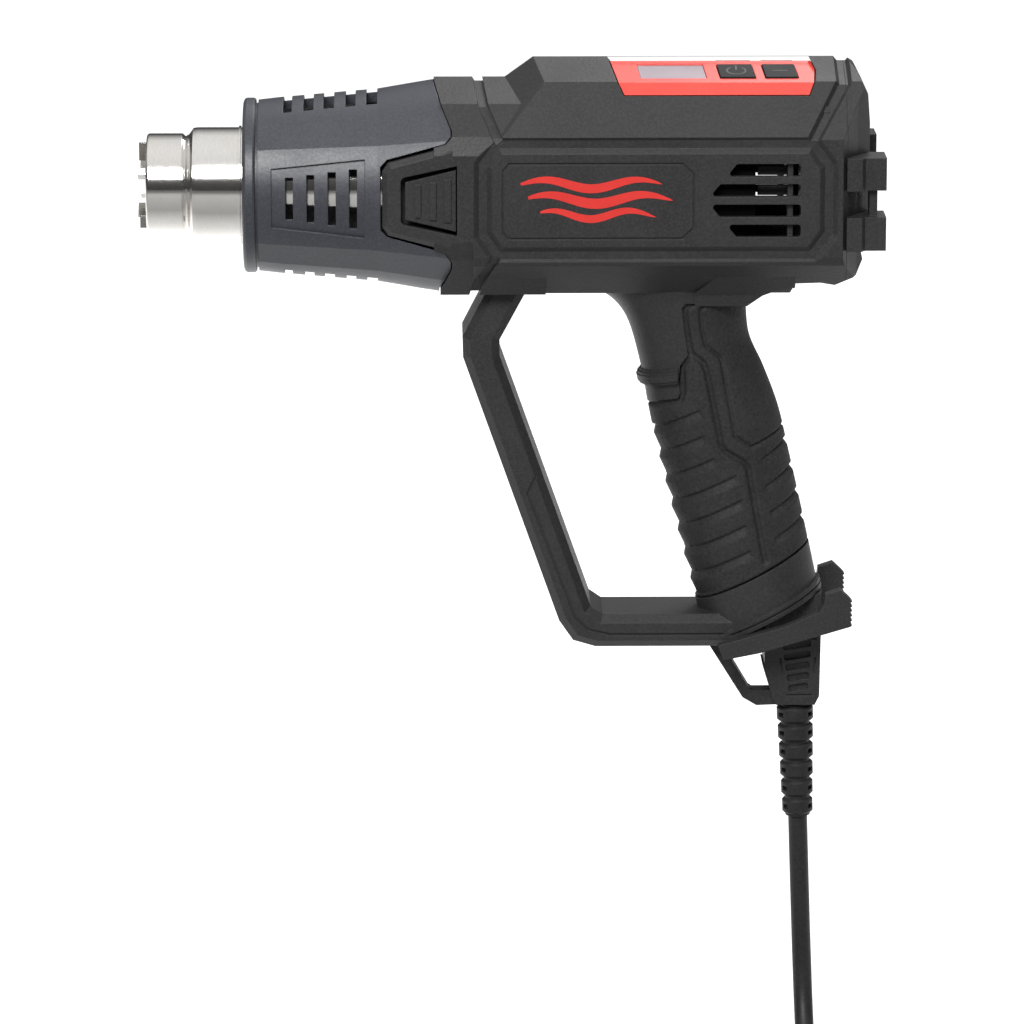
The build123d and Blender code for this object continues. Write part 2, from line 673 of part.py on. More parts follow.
def control_board():
    """The circuit board under the panel, with its switches."""
    board = box_between((-34, -13.4, BARREL_Z + 30.8), (26.5, 13.4, BARREL_Z + 32.4))
    for x in (2.6, 17.6):
        for y in (-9.6, 9.6):
            board += box_between((x - 3, y - 3, BARREL_Z + 32.3), (x + 3, y + 3, BARREL_Z + 33.65))
    board += box_between((-12, -8, BARREL_Z + 28.9), (4, 6, BARREL_Z + 30.9))
    return board


# ---------------------------------------------------------------- hot end
def nozzle_tube():
    """The polished outlet tube: rolled mouth, push-on seat, step and long rear run."""
    front, seat_end = NOZZLE_FRONT_X, NOZZLE_SEAT_END_X
    outside = [(front + 1.2, NOZZLE_R), (seat_end, NOZZLE_R), (seat_end + 1.0, NOZZLE_R - 0.9),
               (seat_end + 2.0, NOZZLE_R - 0.3), (seat_end + 3.6, NOZZLE_BODY_R - 0.2),
               (seat_end + 4.8, NOZZLE_BODY_R), (NOZZLE_REAR_X, NOZZLE_BODY_R),
               (NOZZLE_REAR_X, 24.0), (NOZZLE_REAR_X + 1.0, 24.0)]
    inside = [(NOZZLE_REAR_X + 1.0, NOZZLE_BODY_R - TUBE_WALL), (seat_end + 5.2, NOZZLE_BODY_R - TUBE_WALL),
              (seat_end + 2.2, NOZZLE_R - 1.7), (seat_end, NOZZLE_R - 1.7),
              (seat_end - 1.0, NOZZLE_R - TUBE_WALL), (front + 1.2, NOZZLE_R - TUBE_WALL)]
    tube = barrel_revolve(outside + inside)
    rim = Pos(front + 1.2, 0, BARREL_Z) * Rot(0, 90, 0) * Torus(NOZZLE_R - 1.0, 1.0)
    band = barrel_ring(NOZZLE_BODY_R + 0.5, NOZZLE_BODY_R - 0.4, SHIELD_FRONT_X - 1.6, SHIELD_FRONT_X - 0.8)
    return tube + rim + band


def nozzle_guard():
    """The strip-metal star in the mouth that keeps fingers and scraps out."""
    star = barrel_ring(4.4, 3.6, NOZZLE_FRONT_X + 2.4, NOZZLE_FRONT_X + 8.0)
    for turn in range(6):
        arm = box_between((NOZZLE_FRONT_X + 2.4, -0.4, 4.0), (NOZZLE_FRONT_X + 8.0, 0.4, NOZZLE_R - 0.9))
        nose = box_between((NOZZLE_FRONT_X - 2.4, -0.4, 8.6), (NOZZLE_FRONT_X + 2.6, 0.4, NOZZLE_R - 2.7))
        star += Pos(0, 0, BARREL_Z) * Rot(60 * turn + 5, 0, 0) * (arm + nose)
    return star


def shield_outline(radius, x):
    """The heat shield's section: round above and below, flat on the sides."""
    low, high = math.radians(33), math.radians(53)
    flat = radius * 0.985

    def at(angle, reach):
        return (x, reach * math.cos(angle), BARREL_Z + reach * math.sin(angle))

    half_turn = math.pi
    arcs = ThreePointArc(at(high, radius), at(half_turn / 2, radius), at(half_turn - high, radius))
    arcs += Line(at(half_turn - high, radius), at(half_turn - low, radius))
    arcs += ThreePointArc(at(half_turn - low, radius), at(half_turn, flat), at(half_turn + low, radius))
    arcs += Line(at(half_turn + low, radius), at(half_turn + high, radius))
    arcs += ThreePointArc(at(half_turn + high, radius), at(1.5 * half_turn, radius), at(-high, radius))
    arcs += Line(at(-high, radius), at(-low, radius))
    arcs += ThreePointArc(at(-low, radius), at(0, flat), at(low, radius))
    arcs += Line(at(low, radius), at(high, radius))
    return make_face(arcs)


SHIELD_STATIONS = [(SHIELD_LIP_X, 28.4), (-149.0, 29.2), (-115.5, 32.1), (-102.0, 34.4), (-88.0, 36.6)]
SHIELD_SLOT_X = [(-145.9, -143.4), (-138.9, -136.4), (-131.9, -129.3), (-124.9, -122.3)]
SHIELD_TOP_X = [(-146.8, -144.0), (-140.1, -136.8), (-133.5, -130.0), (-126.2, -122.9), (-119.3, -115.7)]
SHIELD_FRAME = [(-150.6, 9.8), (-119.7, 13.2), (-119.7, -13.2), (-150.6, -9.8)]


SHIELD_REAR_EDGE = [(-97.6, 50), (-97.4, 36.0), (-94.4, 29.2), (-91.4, 22.8), (-91.4, 20.8), (-93.4, 18.6),
                    (-112.4, 13.2), (-114.6, 10.9), (-114.6, -10.1), (-112.4, -12.4), (-93.4, -17.8),
                    (-91.4, -21.0), (-91.4, -23.9), (-95.2, -32.2), (-96.0, -50)]


def shield_room():
    """Where the heat shield's rear edge laps over the neck."""
    edge = [(x + 0.35, h) for x, h in SHIELD_REAR_EDGE]
    room = prism_y(edge + [(-140, -50), (-140, 50)], -60, 60, BARREL_Z)
    return room - barrel_disc(29.0, -150, -80)


def heat_shield():
    """The grey sleeve round the hot tube, slotted for cooling air."""
    shell = None
    for (xa, ra), (xb, rb) in zip(SHIELD_STATIONS, SHIELD_STATIONS[1:]):
        piece = loft([shield_outline(ra, xa), shield_outline(rb, xb)], ruled=True)
        shell = piece if shell is None else shell + piece
    front, lip = SHIELD_FRONT_X, SHIELD_LIP_X
    shell += barrel_revolve([(front, 20.0), (front, 27.9), (front + 0.4, 28.7), (front + 1.1, 29.1),
                             (lip - 0.7, 29.1), (lip, 28.6), (lip + 0.4, 28.3), (lip + 0.4, 20.0)])
    bore = [(front - 1, 0), (front - 1, SHIELD_BORE_R), (lip + 0.6, SHIELD_BORE_R),
            (lip + 2.8, 25.8), (-149.0, 26.6), (-115.5, 28.9), (-104.0, 29.2), (-98.0, 31.2), (-80.0, 36.2), (-80.0, 0)]
    shell -= barrel_revolve(bore)
    shell -= barrel_ring(40, 27.4, lip - 0.1, lip + 0.8)
    skin = [(-170.0, 0), (-170.0, 27.4)] + [(x, r - 1.1) for x, r in SHIELD_STATIONS[1:]] + [(-88.0, 0)]
    shell -= prism_y(SHIELD_FRAME, -60, 60, BARREL_Z) - barrel_revolve(skin)
    rear = SHIELD_REAR_EDGE + [(-60, -50), (-60, 50)]
    shell -= prism_y(rear, -60, 60, BARREL_Z)
    for index, (x0, x1) in enumerate(SHIELD_SLOT_X):
        half = 7.0 + 0.95 * index
        shell -= box_between((x0, -60, BARREL_Z - half), (x1, 60, BARREL_Z + half))
    for x0, x1 in SHIELD_TOP_X:
        shell -= box_between((x0, -13, 0), (x1, 13, 200))
    return shell


def mica_tube():
    return barrel_ring(17.6, 17.0, -172.0, -102.0)


def heater_former():
    """Six-winged ceramic former that carries the heating wire."""
    core = barrel_disc(3.0, -168.0, -104.0)
    for turn in range(6):
        wing = box_between((-168.0, -0.9, 2.0), (-104.0, 0.9, 15.0))
        core += Pos(0, 0, BARREL_Z) * Rot(60 * turn, 0, 0) * wing
    for x0 in (-169.6, -104.0):
        core += barrel_disc(16.6, x0, x0 + 1.6) - barrel_ring(14.6, 6.0, x0 - 1, x0 + 3)
    return core


def heating_coils():
    """Wound resistance wire: rows of turns lying between the former's wings."""
    rows = []
    for turn in range(6):
        for ring in (6.6, 11.4):
            angle = math.radians(60 * turn)
            y, h = ring * math.cos(angle), ring * math.sin(angle)
            rows.append(barrel_disc(1.8, -164.0, -108.0, y, h) - barrel_disc(1.2, -165.0, -107.0, y, h))
    return Compound(children=rows)


def thermal_cutout():
    """The bimetal safety switch behind the heater."""
    body = box_between((-101.6, -4.5, BARREL_Z - 14.5), (-91.5, 4.5, BARREL_Z - 10.5))
    for y in (-2.5, 2.5):
        body += box_between((-92, y - 0.8, BARREL_Z - 13), (-86, y + 0.8, BARREL_Z - 12.4))
    return body


def air_guide():
    """The tapering duct that leads the fan's air from the motor into the heater."""
    outside = [(-94.8, 20.4), (-94.8, 22.0), (-80.0, 22.0), (-58.0, 28.4), (9.0, 28.4), (9.0, 26.6)]
    inside = [(-58.0, 26.6), (-80.0, 20.4)]
    duct = barrel_revolve(outside + inside)
    for turn in range(4):
        strut = box_between((-40.0, -1.1, MOTOR_R + 1.2), (-20.0, 1.1, 27.0))
        duct += Pos(0, 0, BARREL_Z) * Rot(90 * turn + 45, 0, 0) * strut
    duct += barrel_ring(MOTOR_R + 1.6, MOTOR_R + 0.05, -42.0, -18.0)
    return duct


def heater_holder():
    """The moulded ring that clamps the tube's flange in the neck."""
    ring = barrel_revolve([(-98.2, 19.8), (-98.2, 25.5), (-97.15, 25.5), (-97.15, 19.8)])
    rear = barrel_revolve([(-95.9, 18.0), (-95.9, 25.5), (-94.9, 25.5), (-94.9, 18.0)])
    bridge = barrel_revolve([(-97.2, 24.3), (-97.2, 25.5), (-95.8, 25.5), (-95.8, 24.3)])
    return ring + rear + bridge


# ---------------------------------------------------------------- motor and fan
def motor_can():
    can = barrel_ring(MOTOR_R, MOTOR_R - 1.4, MOTOR_FRONT_X + 1.5, MOTOR_REAR_X)
    can += barrel_disc(MOTOR_R, MOTOR_REAR_X - 1.4, MOTOR_REAR_X) - barrel_disc(3.0, -30, 0)
    return can


def motor_magnets():
    """Two curved magnets on the inside of the can."""
    magnets = []
    for side in (-1, 1):
        ring = barrel_ring(MOTOR_R - 1.45, MOTOR_R - 4.2, -42.0, -20.0)
        wedge = box_between((-60, min(0, side * 30), BARREL_Z - 8.5), (0, max(0, side * 30), BARREL_Z + 8.5))
        magnets.append(ring & wedge)
    return Compound(children=magnets)


def motor_end_cap():
    """The plastic end cap with the brush terminals."""
    cap = barrel_disc(MOTOR_R, MOTOR_FRONT_X - 1.5, MOTOR_FRONT_X + 1.5)
    cap -= barrel_disc(3.0, MOTOR_FRONT_X - 5, MOTOR_FRONT_X + 5)
    for y in (-8.0, 8.0):
        cap += box_between((MOTOR_FRONT_X - 5.0, y - 2, BARREL_Z - 0.3), (MOTOR_FRONT_X - 1.0, y + 2, BARREL_Z + 0.3))
    return cap


def bearing(x0, x1, outer):
    return barrel_ring(outer, SHAFT_R + 0.05, x0, x1)


def armature():
    """Laminated armature with its commutator, on the shaft."""
    core = barrel_ring(9.6, SHAFT_R, -41.0, -21.0)
    for turn in range(5):
        slot = box_between((-42.0, -1.2, 5.5), (-20.0, 1.2, 12.0))
        core -= Pos(0, 0, BARREL_Z) * Rot(72 * turn, 0, 0) * slot
    core += barrel_ring(4.2, SHAFT_R, -47.5, -41.0)
    return core


def motor_shaft():
    return barrel_disc(SHAFT_R, MOTOR_FRONT_X - 4.0, FAN_REAR_X - 2.0)


def fan_impeller():
    """The axial-radial blower wheel on the motor's rear shaft end."""
    hub = barrel_ring(6.5, SHAFT_R, FAN_FRONT_X, FAN_REAR_X)
    plate = barrel_ring(FAN_R, 6.0, FAN_FRONT_X, FAN_FRONT_X + 1.4)
    wheel = hub + plate
    for blade in range(FAN_BLADES):
        vane = box_between((FAN_FRONT_X + 1.0, 6.0, -0.6), (FAN_REAR_X, FAN_R - 0.6, 0.6))
        vane = Pos(0, 4.0, 0) * Rot(18, 0, 0) * Pos(0, -4.0, 0) * vane
        wheel += Pos(0, 0, BARREL_Z) * Rot(360 / FAN_BLADES * blade, 0, 0) * vane
    return wheel & barrel_disc(FAN_R, FAN_FRONT_X, FAN_REAR_X)


# ---------------------------------------------------------------- power parts in the rear and handle
def power_board():
    """The upright mains board in the tail of the body."""
    board = box_between((26.2, -24, BARREL_Z - 15), (27.8, 24, BARREL_Z + 16))
    board += box_between((27.7, -16, BARREL_Z - 12), (34.5, -2, BARREL_Z + 4))
    board += Pos(31.0, 10, BARREL_Z - 4) * Rot(0, 90, 0) * Cylinder(6.0, 7)
    board += box_between((27.7, 2, BARREL_Z + 5), (33.0, 14, BARREL_Z + 13))
    return board


def terminal_block():
    """Two-way screw terminal in the lower handle."""
    x, z = grip_place(34.0, -2.0)
    block = Box(16, 12, 9)
    for step in (-4, 4):
        block -= Pos(step, 0, 0) * Cylinder(1.6, 20)
    return Pos(x, 0, z) * Rot(0, -GRIP_TILT, 0) * block


def cord_clamp():
    """The saddle that grips the cord just inside the handle's end."""
    x, z = grip_place(56.0, 2.0)
    saddle = Box(15, 14, 3.2) - Pos(0, 0, 0) * Cylinder(3.5, 20)
    return Pos(x, 0, z) * Rot(0, -GRIP_TILT, 0) * saddle


def screw_group(places, radius, head_r, y_head, length):
    """Pan-head screws entered from the right, one solid each."""
    screws = []
    for x, z in places:
        head = Pos(x, y_head - 1.0, z) * Rot(90, 0, 0) * Cylinder(head_r, 2.0)
        head -= Pos(x, y_head, z) * Box(3.2, 1.4, 0.8)
        head -= Pos(x, y_head, z) * Box(0.8, 1.4, 3.2)
        shank = Pos(x, y_head - 1.9 - length / 2, z) * Rot(90, 0, 0) * Cylinder(radius, length)
        screws.append(head + shank)
    return Compound(children=screws)


def housing_screws():
    return screw_group(boss_places(), 1.6, 3.2, 10.1, 16.0)


# ---------------------------------------------------------------- handle end
BRACKET_SIDE = [(-2.0, -69.6), (-0.2, -74.6), (12.0, -72.2), (42.4, -63.2)]
BRACKET_TOE = [(38.9, -50.4), (33.9, -52.1), (33.5, -55.4), (31.4, -58.4), (20.6, -63.1)]
TOE_X = 43.0
TEETH = 6


def toe_teeth():
    """The saw-toothed sole of the bracket's toe, going up."""
    low, high = -63.2, -53.4
    pitch = (high - low) / TEETH
    points = []
    for tooth in range(TEETH):
        points.append((TOE_X, low + pitch * (tooth + 0.35)))
        points.append((TOE_X - 0.9, low + pitch * (tooth + 1.0)))
    return points


def stand_bracket():
    """The forked foot round the handle's end: two toothed toes and a cross bar."""
    outline = BRACKET_SIDE + toe_teeth() + BRACKET_TOE
    fork = prism_y(outline, -22.4, 22.4)
    fork -= box_between((14.0, -18.2, -90), (60, 18.2, -40))
    fork -= box_between((-20, -18.2, -90), (4.0, 18.2, -40))
    fork -= box_between((3.0, -18.2, -90), (15.0, 18.2, -40)) - below_line(HANDLE_END, 0.8)
    return fork


def tail_boot():
    """The tail piece: cord boot and the flat hanging loop in one moulding."""
    boot = prism_y([(11.0, -60.0), (12.6, -76.0), (17.4, -91.9), (19.2, -95.0), (31.4, -94.8), (33.2, -91.0),
                    (33.6, -50.0)], -9.0, 9.0)
    boot = boot & prism_x([(-9, -150), (-6.6, -178), (6.6, -178), (9, -150), (9, -100), (-9, -100)], -50, 60)
    boot = boot & below_line(HANDLE_END, 0.5)
    boot -= box_between((3.5, -10, -80), (14.5, 10, -40))
    strap = prism_y([(-4.4, -73.4), (0.2, -73.4), (9.4, -88.9), (10.6, -89.8), (17.0, -89.8), (19.0, -80.0),
                     (24.0, -80.0), (24.0, -94.6), (12.0, -95.0), (7.3, -92.2)], -3.6, 3.6)
    strap += prism_y([(-4.4, -73.4), (0.2, -73.4), (1.6, -71.0), (-3.4, -73.0)], -3.6, 3.6)
    return boot + strap - boot_pockets()


BOOT_TOP_Z = -66.2
BOOT_TAPER = 2.4 / 28.0


def boot_face(z):
    """How far the boot's tapering side is from the middle, at a height."""
    return 9.0 - (BOOT_TOP_Z - z) * BOOT_TAPER


def boot_pockets():
    """The leaning pockets down both faces of the boot."""
    pockets = None
    for row in range(5):
        z = -72.8 - 3.75 * row
        pocket = fillet(Box(9.8 - 0.75 * row, 4.0, 2.4).edges().filter_by(Axis.Y), 0.9)
        pocket = Pos(25.4 + 0.15 * row, boot_face(z) + 0.7, z) * Rot(0, -9, 0) * pocket
        pockets = pocket if pockets is None else pockets + pocket
    outline = [(18.6, -70.6), (32.0, -70.6), (30.8, -90.6), (22.0, -90.6)]
    for (xa, za), (xb, zb) in zip(outline, outline[1:] + outline[:1]):
        length = math.hypot(xb - xa, zb - za)
        place = Pos((xa + xb) / 2, boot_face(0.5 * (za + zb)), (za + zb) / 2)
        taper = math.degrees(math.atan(BOOT_TAPER)) if abs(zb - za) > 1 else 0
        turn = math.degrees(math.atan2(xb - xa, zb - za)) - (180 if zb < za else 0)
        pockets += place * Rot(taper, 0, 0) * Rot(0, turn, 0) * Box(0.6, 1.1, length)
    return pockets + mirror_y(pockets)


RELIEF_TOP = (25.3, -95.1)
RELIEF_END = (26.7, -134.2)


def relief_axis():
    lean = math.atan2(RELIEF_END[0] - RELIEF_TOP[0], RELIEF_TOP[1] - RELIEF_END[1])
    length = math.hypot(RELIEF_END[0] - RELIEF_TOP[0], RELIEF_TOP[1] - RELIEF_END[1])
    return math.degrees(lean), length


def strain_relief():
    """The ribbed, tapering bend protector of the mains cord."""
    lean, length = relief_axis()
    core = Pos(0, 0, -length / 2) * Rot(180, 0, 0) * Cone(4.9, 4.2, length)
    for collar in range(6):
        z = -3.2 - collar * 6.5
        radius = 6.2 - 0.2 * collar
        ring = chamfer(Cylinder(radius, 5.1).edges().filter_by(GeomType.CIRCLE), 0.6)
        for turn in (35, 145, 215, 325):
            ring -= Rot(0, 0, turn) * Pos(radius, 0, 0) * Box(3.0, 2.6, 1.5)
        core += Pos(0, 0, z) * ring
    return Pos(RELIEF_TOP[0], 0, RELIEF_TOP[1]) * Rot(0, -lean, 0) * core


# ---------------------------------------------------------------- mains cord
COIL_TOP_Z = COIL_BASE_Z + CORD_D / 2 + COIL_PITCH * (COIL_LAYERS - 1)
COIL_INNER_R = COIL_TURN_R - 1.5 * COIL_PITCH
COIL_OUTER_R = COIL_TURN_R + 1.5 * COIL_PITCH

CORD_DROP = [
    (26.7, 0.0, -134.2),
    (27.7, 0.0, -163.0),
    (28.9, 0.0, -192.6),
    (29.3, -5.8, -206.6),
    (29.5, -16.5, -217.3),
    (29.6, -30.4, COIL_TOP_Z),
    (29.6, -45.5, COIL_TOP_Z),
]
PLUG_LEAD = [
    (1.0, -93.9, FLOOR_Z + CORD_D / 2),
    (-19.0, -93.5, FLOOR_Z + CORD_D / 2),
    (-38.0, -90.0, FLOOR_Z + 5.2),
    (-55.0, -84.1, FLOOR_Z + 12.9),
    (-72.0, -78.8, FLOOR_Z + 13.0),
]


def cord_tube(points, label):
    """A cord along straight runs with wide arcs between them."""
    ends = [Vector(*p) for p in points]
    radii = []
    for before, corner, after in zip(ends, ends[1:], ends[2:]):
        turn = (corner - before).get_angle(after - corner)
        shorter = min((corner - before).length, (after - corner).length)
        radii.append(0.45 * shorter / math.tan(math.radians(turn) / 2))
    path = FilletPolyline(*ends, radius=radii)
    start = Plane(origin=ends[0], z_dir=ends[1] - ends[0])
    tube = sweep(start * Circle(CORD_D / 2), path=path)
    section = math.pi * CORD_D ** 2 / 4
    print(label, "length", round(path.length, 1), "radii", [round(r, 1) for r in radii],
          "volume ratio", round(tube.volume / (section * path.length), 4))
    return tube


def cord_coil():
    """The outer shape of the tied coil."""
    outer = COIL_OUTER_R + CORD_D / 2
    inner = COIL_INNER_R - CORD_D / 2
    height = COIL_PITCH * (COIL_LAYERS - 1) + CORD_D
    ring = Cylinder(outer, height) - Cylinder(inner, height + 2)
    ring = fillet(ring.edges().filter_by(GeomType.CIRCLE), CORD_D / 2 - 0.4)
    return Pos(COIL_CENTRE[0], COIL_CENTRE[1], COIL_BASE_Z + height / 2) * ring


def coil_tie():
    """The strap that holds the coil's turns together."""
    height = COIL_PITCH * (COIL_LAYERS - 1) + CORD_D
    depth = COIL_OUTER_R - COIL_INNER_R + CORD_D
    loop = Box(depth + 2.8, 9.0, height + 0.9) - Box(depth + 1.2, 20.0, height + 0.1)
    x = COIL_CENTRE[0] - COIL_TURN_R
    return Pos(x, COIL_CENTRE[1], COIL_BASE_Z + height / 2) * loop


PLUG_FRONT = (-72.05, -78.78)
PLUG_Z = FLOOR_Z + 13.0
PLUG_DIRECTION = 162.7     # degrees, where the pins point, seen from above


def plug_frame():
    return Pos(PLUG_FRONT[0], PLUG_FRONT[1], PLUG_Z) * Rot(0, 0, PLUG_DIRECTION)


def plug_body():
    """A two-pin contour plug with its own tapering sleeve."""
    sleeve = Pos(12.5, 0, 0) * Rot(0, 90, 0) * Cone(4.2, 6.4, 25)
    grip = Pos(33.0, 0, 0) * Box(20, 22, 20)
    grip = fillet(grip.edges().filter_by(Axis.X), 6)
    face = Pos(48.5, 0, 0) * Rot(0, 90, 0) * Cylinder(17.6, 13)
    face = face & Pos(48.5, 0, 0) * Box(14, 40, 25.8)
    return plug_frame() * (sleeve + grip + face)


def plug_pins():
    """Two round pins, 19 mm apart."""
    pins = []
    for y in (-9.5, 9.5):
        pin = Pos(64.5, y, 0) * Rot(0, 90, 0) * Cylinder(2.4, 19)
        pins.append(plug_frame() * pin)
    return Compound(children=pins)


# ---------------------------------------------------------------- write every node
def main():
    os.makedirs("parts", exist_ok=True)
    nodes = {
        "left_housing": housing_half(-1),
        "right_housing": housing_half(1),
        "rear_cover": rear_cover(),
        "left_rear_stand": rear_stand(-1),
        "right_rear_stand": rear_stand(1),
        "left_soft_grip": soft_grip(-1),
        "right_soft_grip": soft_grip(1),
        "heat_shield": heat_shield(),
        "left_latch": latch_tab(-1),
        "right_latch": latch_tab(1),
        "nozzle_tube": nozzle_tube(),
        "nozzle_guard": nozzle_guard(),
        "heater_holder": heater_holder(),
        "mica_tube": mica_tube(),
        "heater_former": heater_former(),
        "heating_coils": heating_coils(),
        "thermal_cutout": thermal_cutout(),
        "air_guide": air_guide(),
        "motor_can": motor_can(),
        "motor_magnets": motor_magnets(),
        "motor_end_cap": motor_end_cap(),
        "front_bearing": bearing(MOTOR_FRONT_X - 1.5, MOTOR_FRONT_X + 1.5, 2.95),
        "rear_bearing": bearing(MOTOR_REAR_X - 1.4, MOTOR_REAR_X, 2.95),
        "armature": armature(),
        "motor_shaft": motor_shaft(),
        "fan_impeller": fan_impeller(),
        "control_panel": control_panel(),
        "lcd_window": lcd_window(),
        "lcd_module": lcd_module(),
        "power_button": push_button(-1, FRONT_BUTTON),
        "minus_button": push_button(-1, REAR_BUTTON),
        "airflow_button": push_button(1, FRONT_BUTTON),
        "plus_button": push_button(1, REAR_BUTTON),
        "control_board": control_board(),
        "power_board": power_board(),
        "terminal_block": terminal_block(),
        "cord_clamp": cord_clamp(),
        "housing_screws": housing_screws(),
        "stand_bracket": stand_bracket(),
        "tail_boot": tail_boot(),
        "strain_relief": strain_relief(),
        "mains_cord": cord_tube(CORD_DROP, "mains_cord") - cord_coil(),
        "plug_lead": cord_tube(PLUG_LEAD, "plug_lead") - cord_coil(),
        "cord_coil": cord_coil(),
        "coil_tie": coil_tie(),
        "plug_body": plug_body(),
        "plug_pins": plug_pins(),
    }
    for name, shape in nodes.items():
        export_step(shape, f"parts/{name}.step")


main()
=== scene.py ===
import json
import math

import bmesh
import bpy
import numpy as np
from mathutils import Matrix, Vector


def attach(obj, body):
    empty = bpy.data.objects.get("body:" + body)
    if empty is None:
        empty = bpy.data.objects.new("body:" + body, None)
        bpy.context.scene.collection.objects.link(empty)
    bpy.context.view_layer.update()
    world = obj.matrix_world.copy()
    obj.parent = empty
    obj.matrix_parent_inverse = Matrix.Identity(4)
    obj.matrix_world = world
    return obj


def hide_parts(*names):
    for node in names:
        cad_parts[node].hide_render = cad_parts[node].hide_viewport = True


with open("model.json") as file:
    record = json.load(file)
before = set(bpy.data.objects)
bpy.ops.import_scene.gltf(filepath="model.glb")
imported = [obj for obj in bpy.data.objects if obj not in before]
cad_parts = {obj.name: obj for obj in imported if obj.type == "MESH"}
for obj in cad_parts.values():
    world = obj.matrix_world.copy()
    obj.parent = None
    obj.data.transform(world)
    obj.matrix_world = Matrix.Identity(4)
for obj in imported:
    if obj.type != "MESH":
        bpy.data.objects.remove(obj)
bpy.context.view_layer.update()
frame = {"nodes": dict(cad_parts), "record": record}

# A hand-held heat gun. Metres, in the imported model's frame: +Z up, the origin in
# the middle of the grip, the nozzle along -X. Sizes below are in millimetres and
# are turned into metres by MM or point().

MM = 0.001
scene = bpy.context.scene
nodes = frame["nodes"]

BARREL_Z = 83.8
PANEL_Y = 33.0
FLOOR_Z = -240.0
GRIP_TILT = math.radians(15.5)


def point(x, y, z):
    return Vector((x * MM, y * MM, z * MM))


def new_object(name, data):
    made = bpy.data.objects.new(name, data)
    scene.collection.objects.link(made)
    return made


# ---------------------------------------------------------------- camera
CAMERA_AZIMUTH = math.radians(-0.76)
CAMERA_ELEVATION = math.radians(12.7)
CAMERA_DISTANCE = 2.084          # metres
CAMERA_TARGET = (-70.9, 0.0, -28.3)
CAMERA_LENS = 216.9
CAMERA_SENSOR = 36.0


def make_camera():
    """A long lens a little above the gun's level, looking at its left side."""
    azimuth, elevation = CAMERA_AZIMUTH, CAMERA_ELEVATION
    target = point(*CAMERA_TARGET)
    back = Vector((math.sin(azimuth) * math.cos(elevation),
                   -math.cos(azimuth) * math.cos(elevation),
                   math.sin(elevation)))
    data = bpy.data.cameras.new("camera")
    data.sensor_width = CAMERA_SENSOR
    data.lens = CAMERA_LENS
    data.clip_start = 0.05
    data.clip_end = 50.0
    camera = new_object("camera", data)
    camera.location = target + back * CAMERA_DISTANCE
    camera.rotation_mode = "QUATERNION"
    camera.rotation_quaternion = (-back).to_track_quat("-Z", "Y")
    scene.camera = camera


# ---------------------------------------------------------------- material helper
class Graph:
    """One material's node tree. Textures lie in the piece's own coordinates."""

    def __init__(self, name):
        self.material = bpy.data.materials.new(name)
        self.material.use_nodes = True
        self.tree = self.material.node_tree
        self.shader = self.tree.nodes["Principled BSDF"]
        self.place = self.node("ShaderNodeTexCoord").outputs["Object"]

    def node(self, kind, values=None, **settings):
        made = self.tree.nodes.new(kind)
        for key, value in settings.items():
            setattr(made, key, value)
        for socket, value in (values or {}).items():
            self.feed(made.inputs[socket], value)
        return made

    def feed(self, socket, value):
        if isinstance(value, bpy.types.NodeSocket):
            self.tree.links.new(value, socket)
        else:
            socket.default_value = value

    def set(self, **values):
        """Feeds the shader: base_color=..., roughness=... and so on."""
        for key, value in values.items():
            self.feed(self.shader.inputs[key.replace("_", " ").title().replace("Ior", "IOR")], value)

    def stretched(self, x=1.0, y=1.0, z=1.0):
        mapping = self.node("ShaderNodeMapping", {"Vector": self.place})
        mapping.inputs["Scale"].default_value = (x, y, z)
        return mapping.outputs["Vector"]

    def noise(self, size, detail=2.0, rough=0.5, place=None):
        """Noise with features of about this size in millimetres."""
        values = {"Vector": place or self.place, "Scale": 1000.0 / size, "Detail": detail, "Roughness": rough}
        return self.node("ShaderNodeTexNoise", values).outputs["Fac"]

    def cells(self, size, place=None):
        values = {"Vector": place or self.place, "Scale": 1000.0 / size}
        return self.node("ShaderNodeTexVoronoi", values).outputs["Distance"]

    def span(self, value, low, high, from_low=0.3, from_high=0.7):
        values = {"Value": value, "From Min": from_low, "From Max": from_high, "To Min": low, "To Max": high}
        return self.node("ShaderNodeMapRange", values).outputs["Result"]

    def maths(self, operation, first, second):
        return self.node("ShaderNodeMath", {0: first, 1: second}, operation=operation).outputs[0]

    def mix(self, amount, first, second):
        made = self.node("ShaderNodeMix", data_type="RGBA")
        self.feed(made.inputs[0], amount)
        self.feed(made.inputs[6], first)
        self.feed(made.inputs[7], second)
        return made.outputs[2]

    def bump(self, height, depth, strength=1.0, normal=None):
        """Relief of a depth in millimetres."""
        made = self.node("ShaderNodeBump", {"Height": height, "Distance": depth * MM, "Strength": strength})
        if normal is not None:
            self.feed(made.inputs["Normal"], normal)
        return made.outputs["Normal"]

    def rounded(self, radius):
        """A normal with every edge softened, and a mask that is bright on edges."""
        bevel = self.node("ShaderNodeBevel", {"Radius": radius * MM}, samples=4).outputs["Normal"]
        flat = self.node("ShaderNodeNewGeometry").outputs["Normal"]
        dot = self.node("ShaderNodeVectorMath", {0: bevel, 1: flat}, operation="DOT_PRODUCT").outputs["Value"]
        return bevel, self.span(dot, 1.0, 0.0, 0.8, 1.0)


def colour(red, green, blue):
    return (red, green, blue, 1.0)


def scaled(shade, factor):
    return (shade[0] * factor, shade[1] * factor, shade[2] * factor, 1.0)


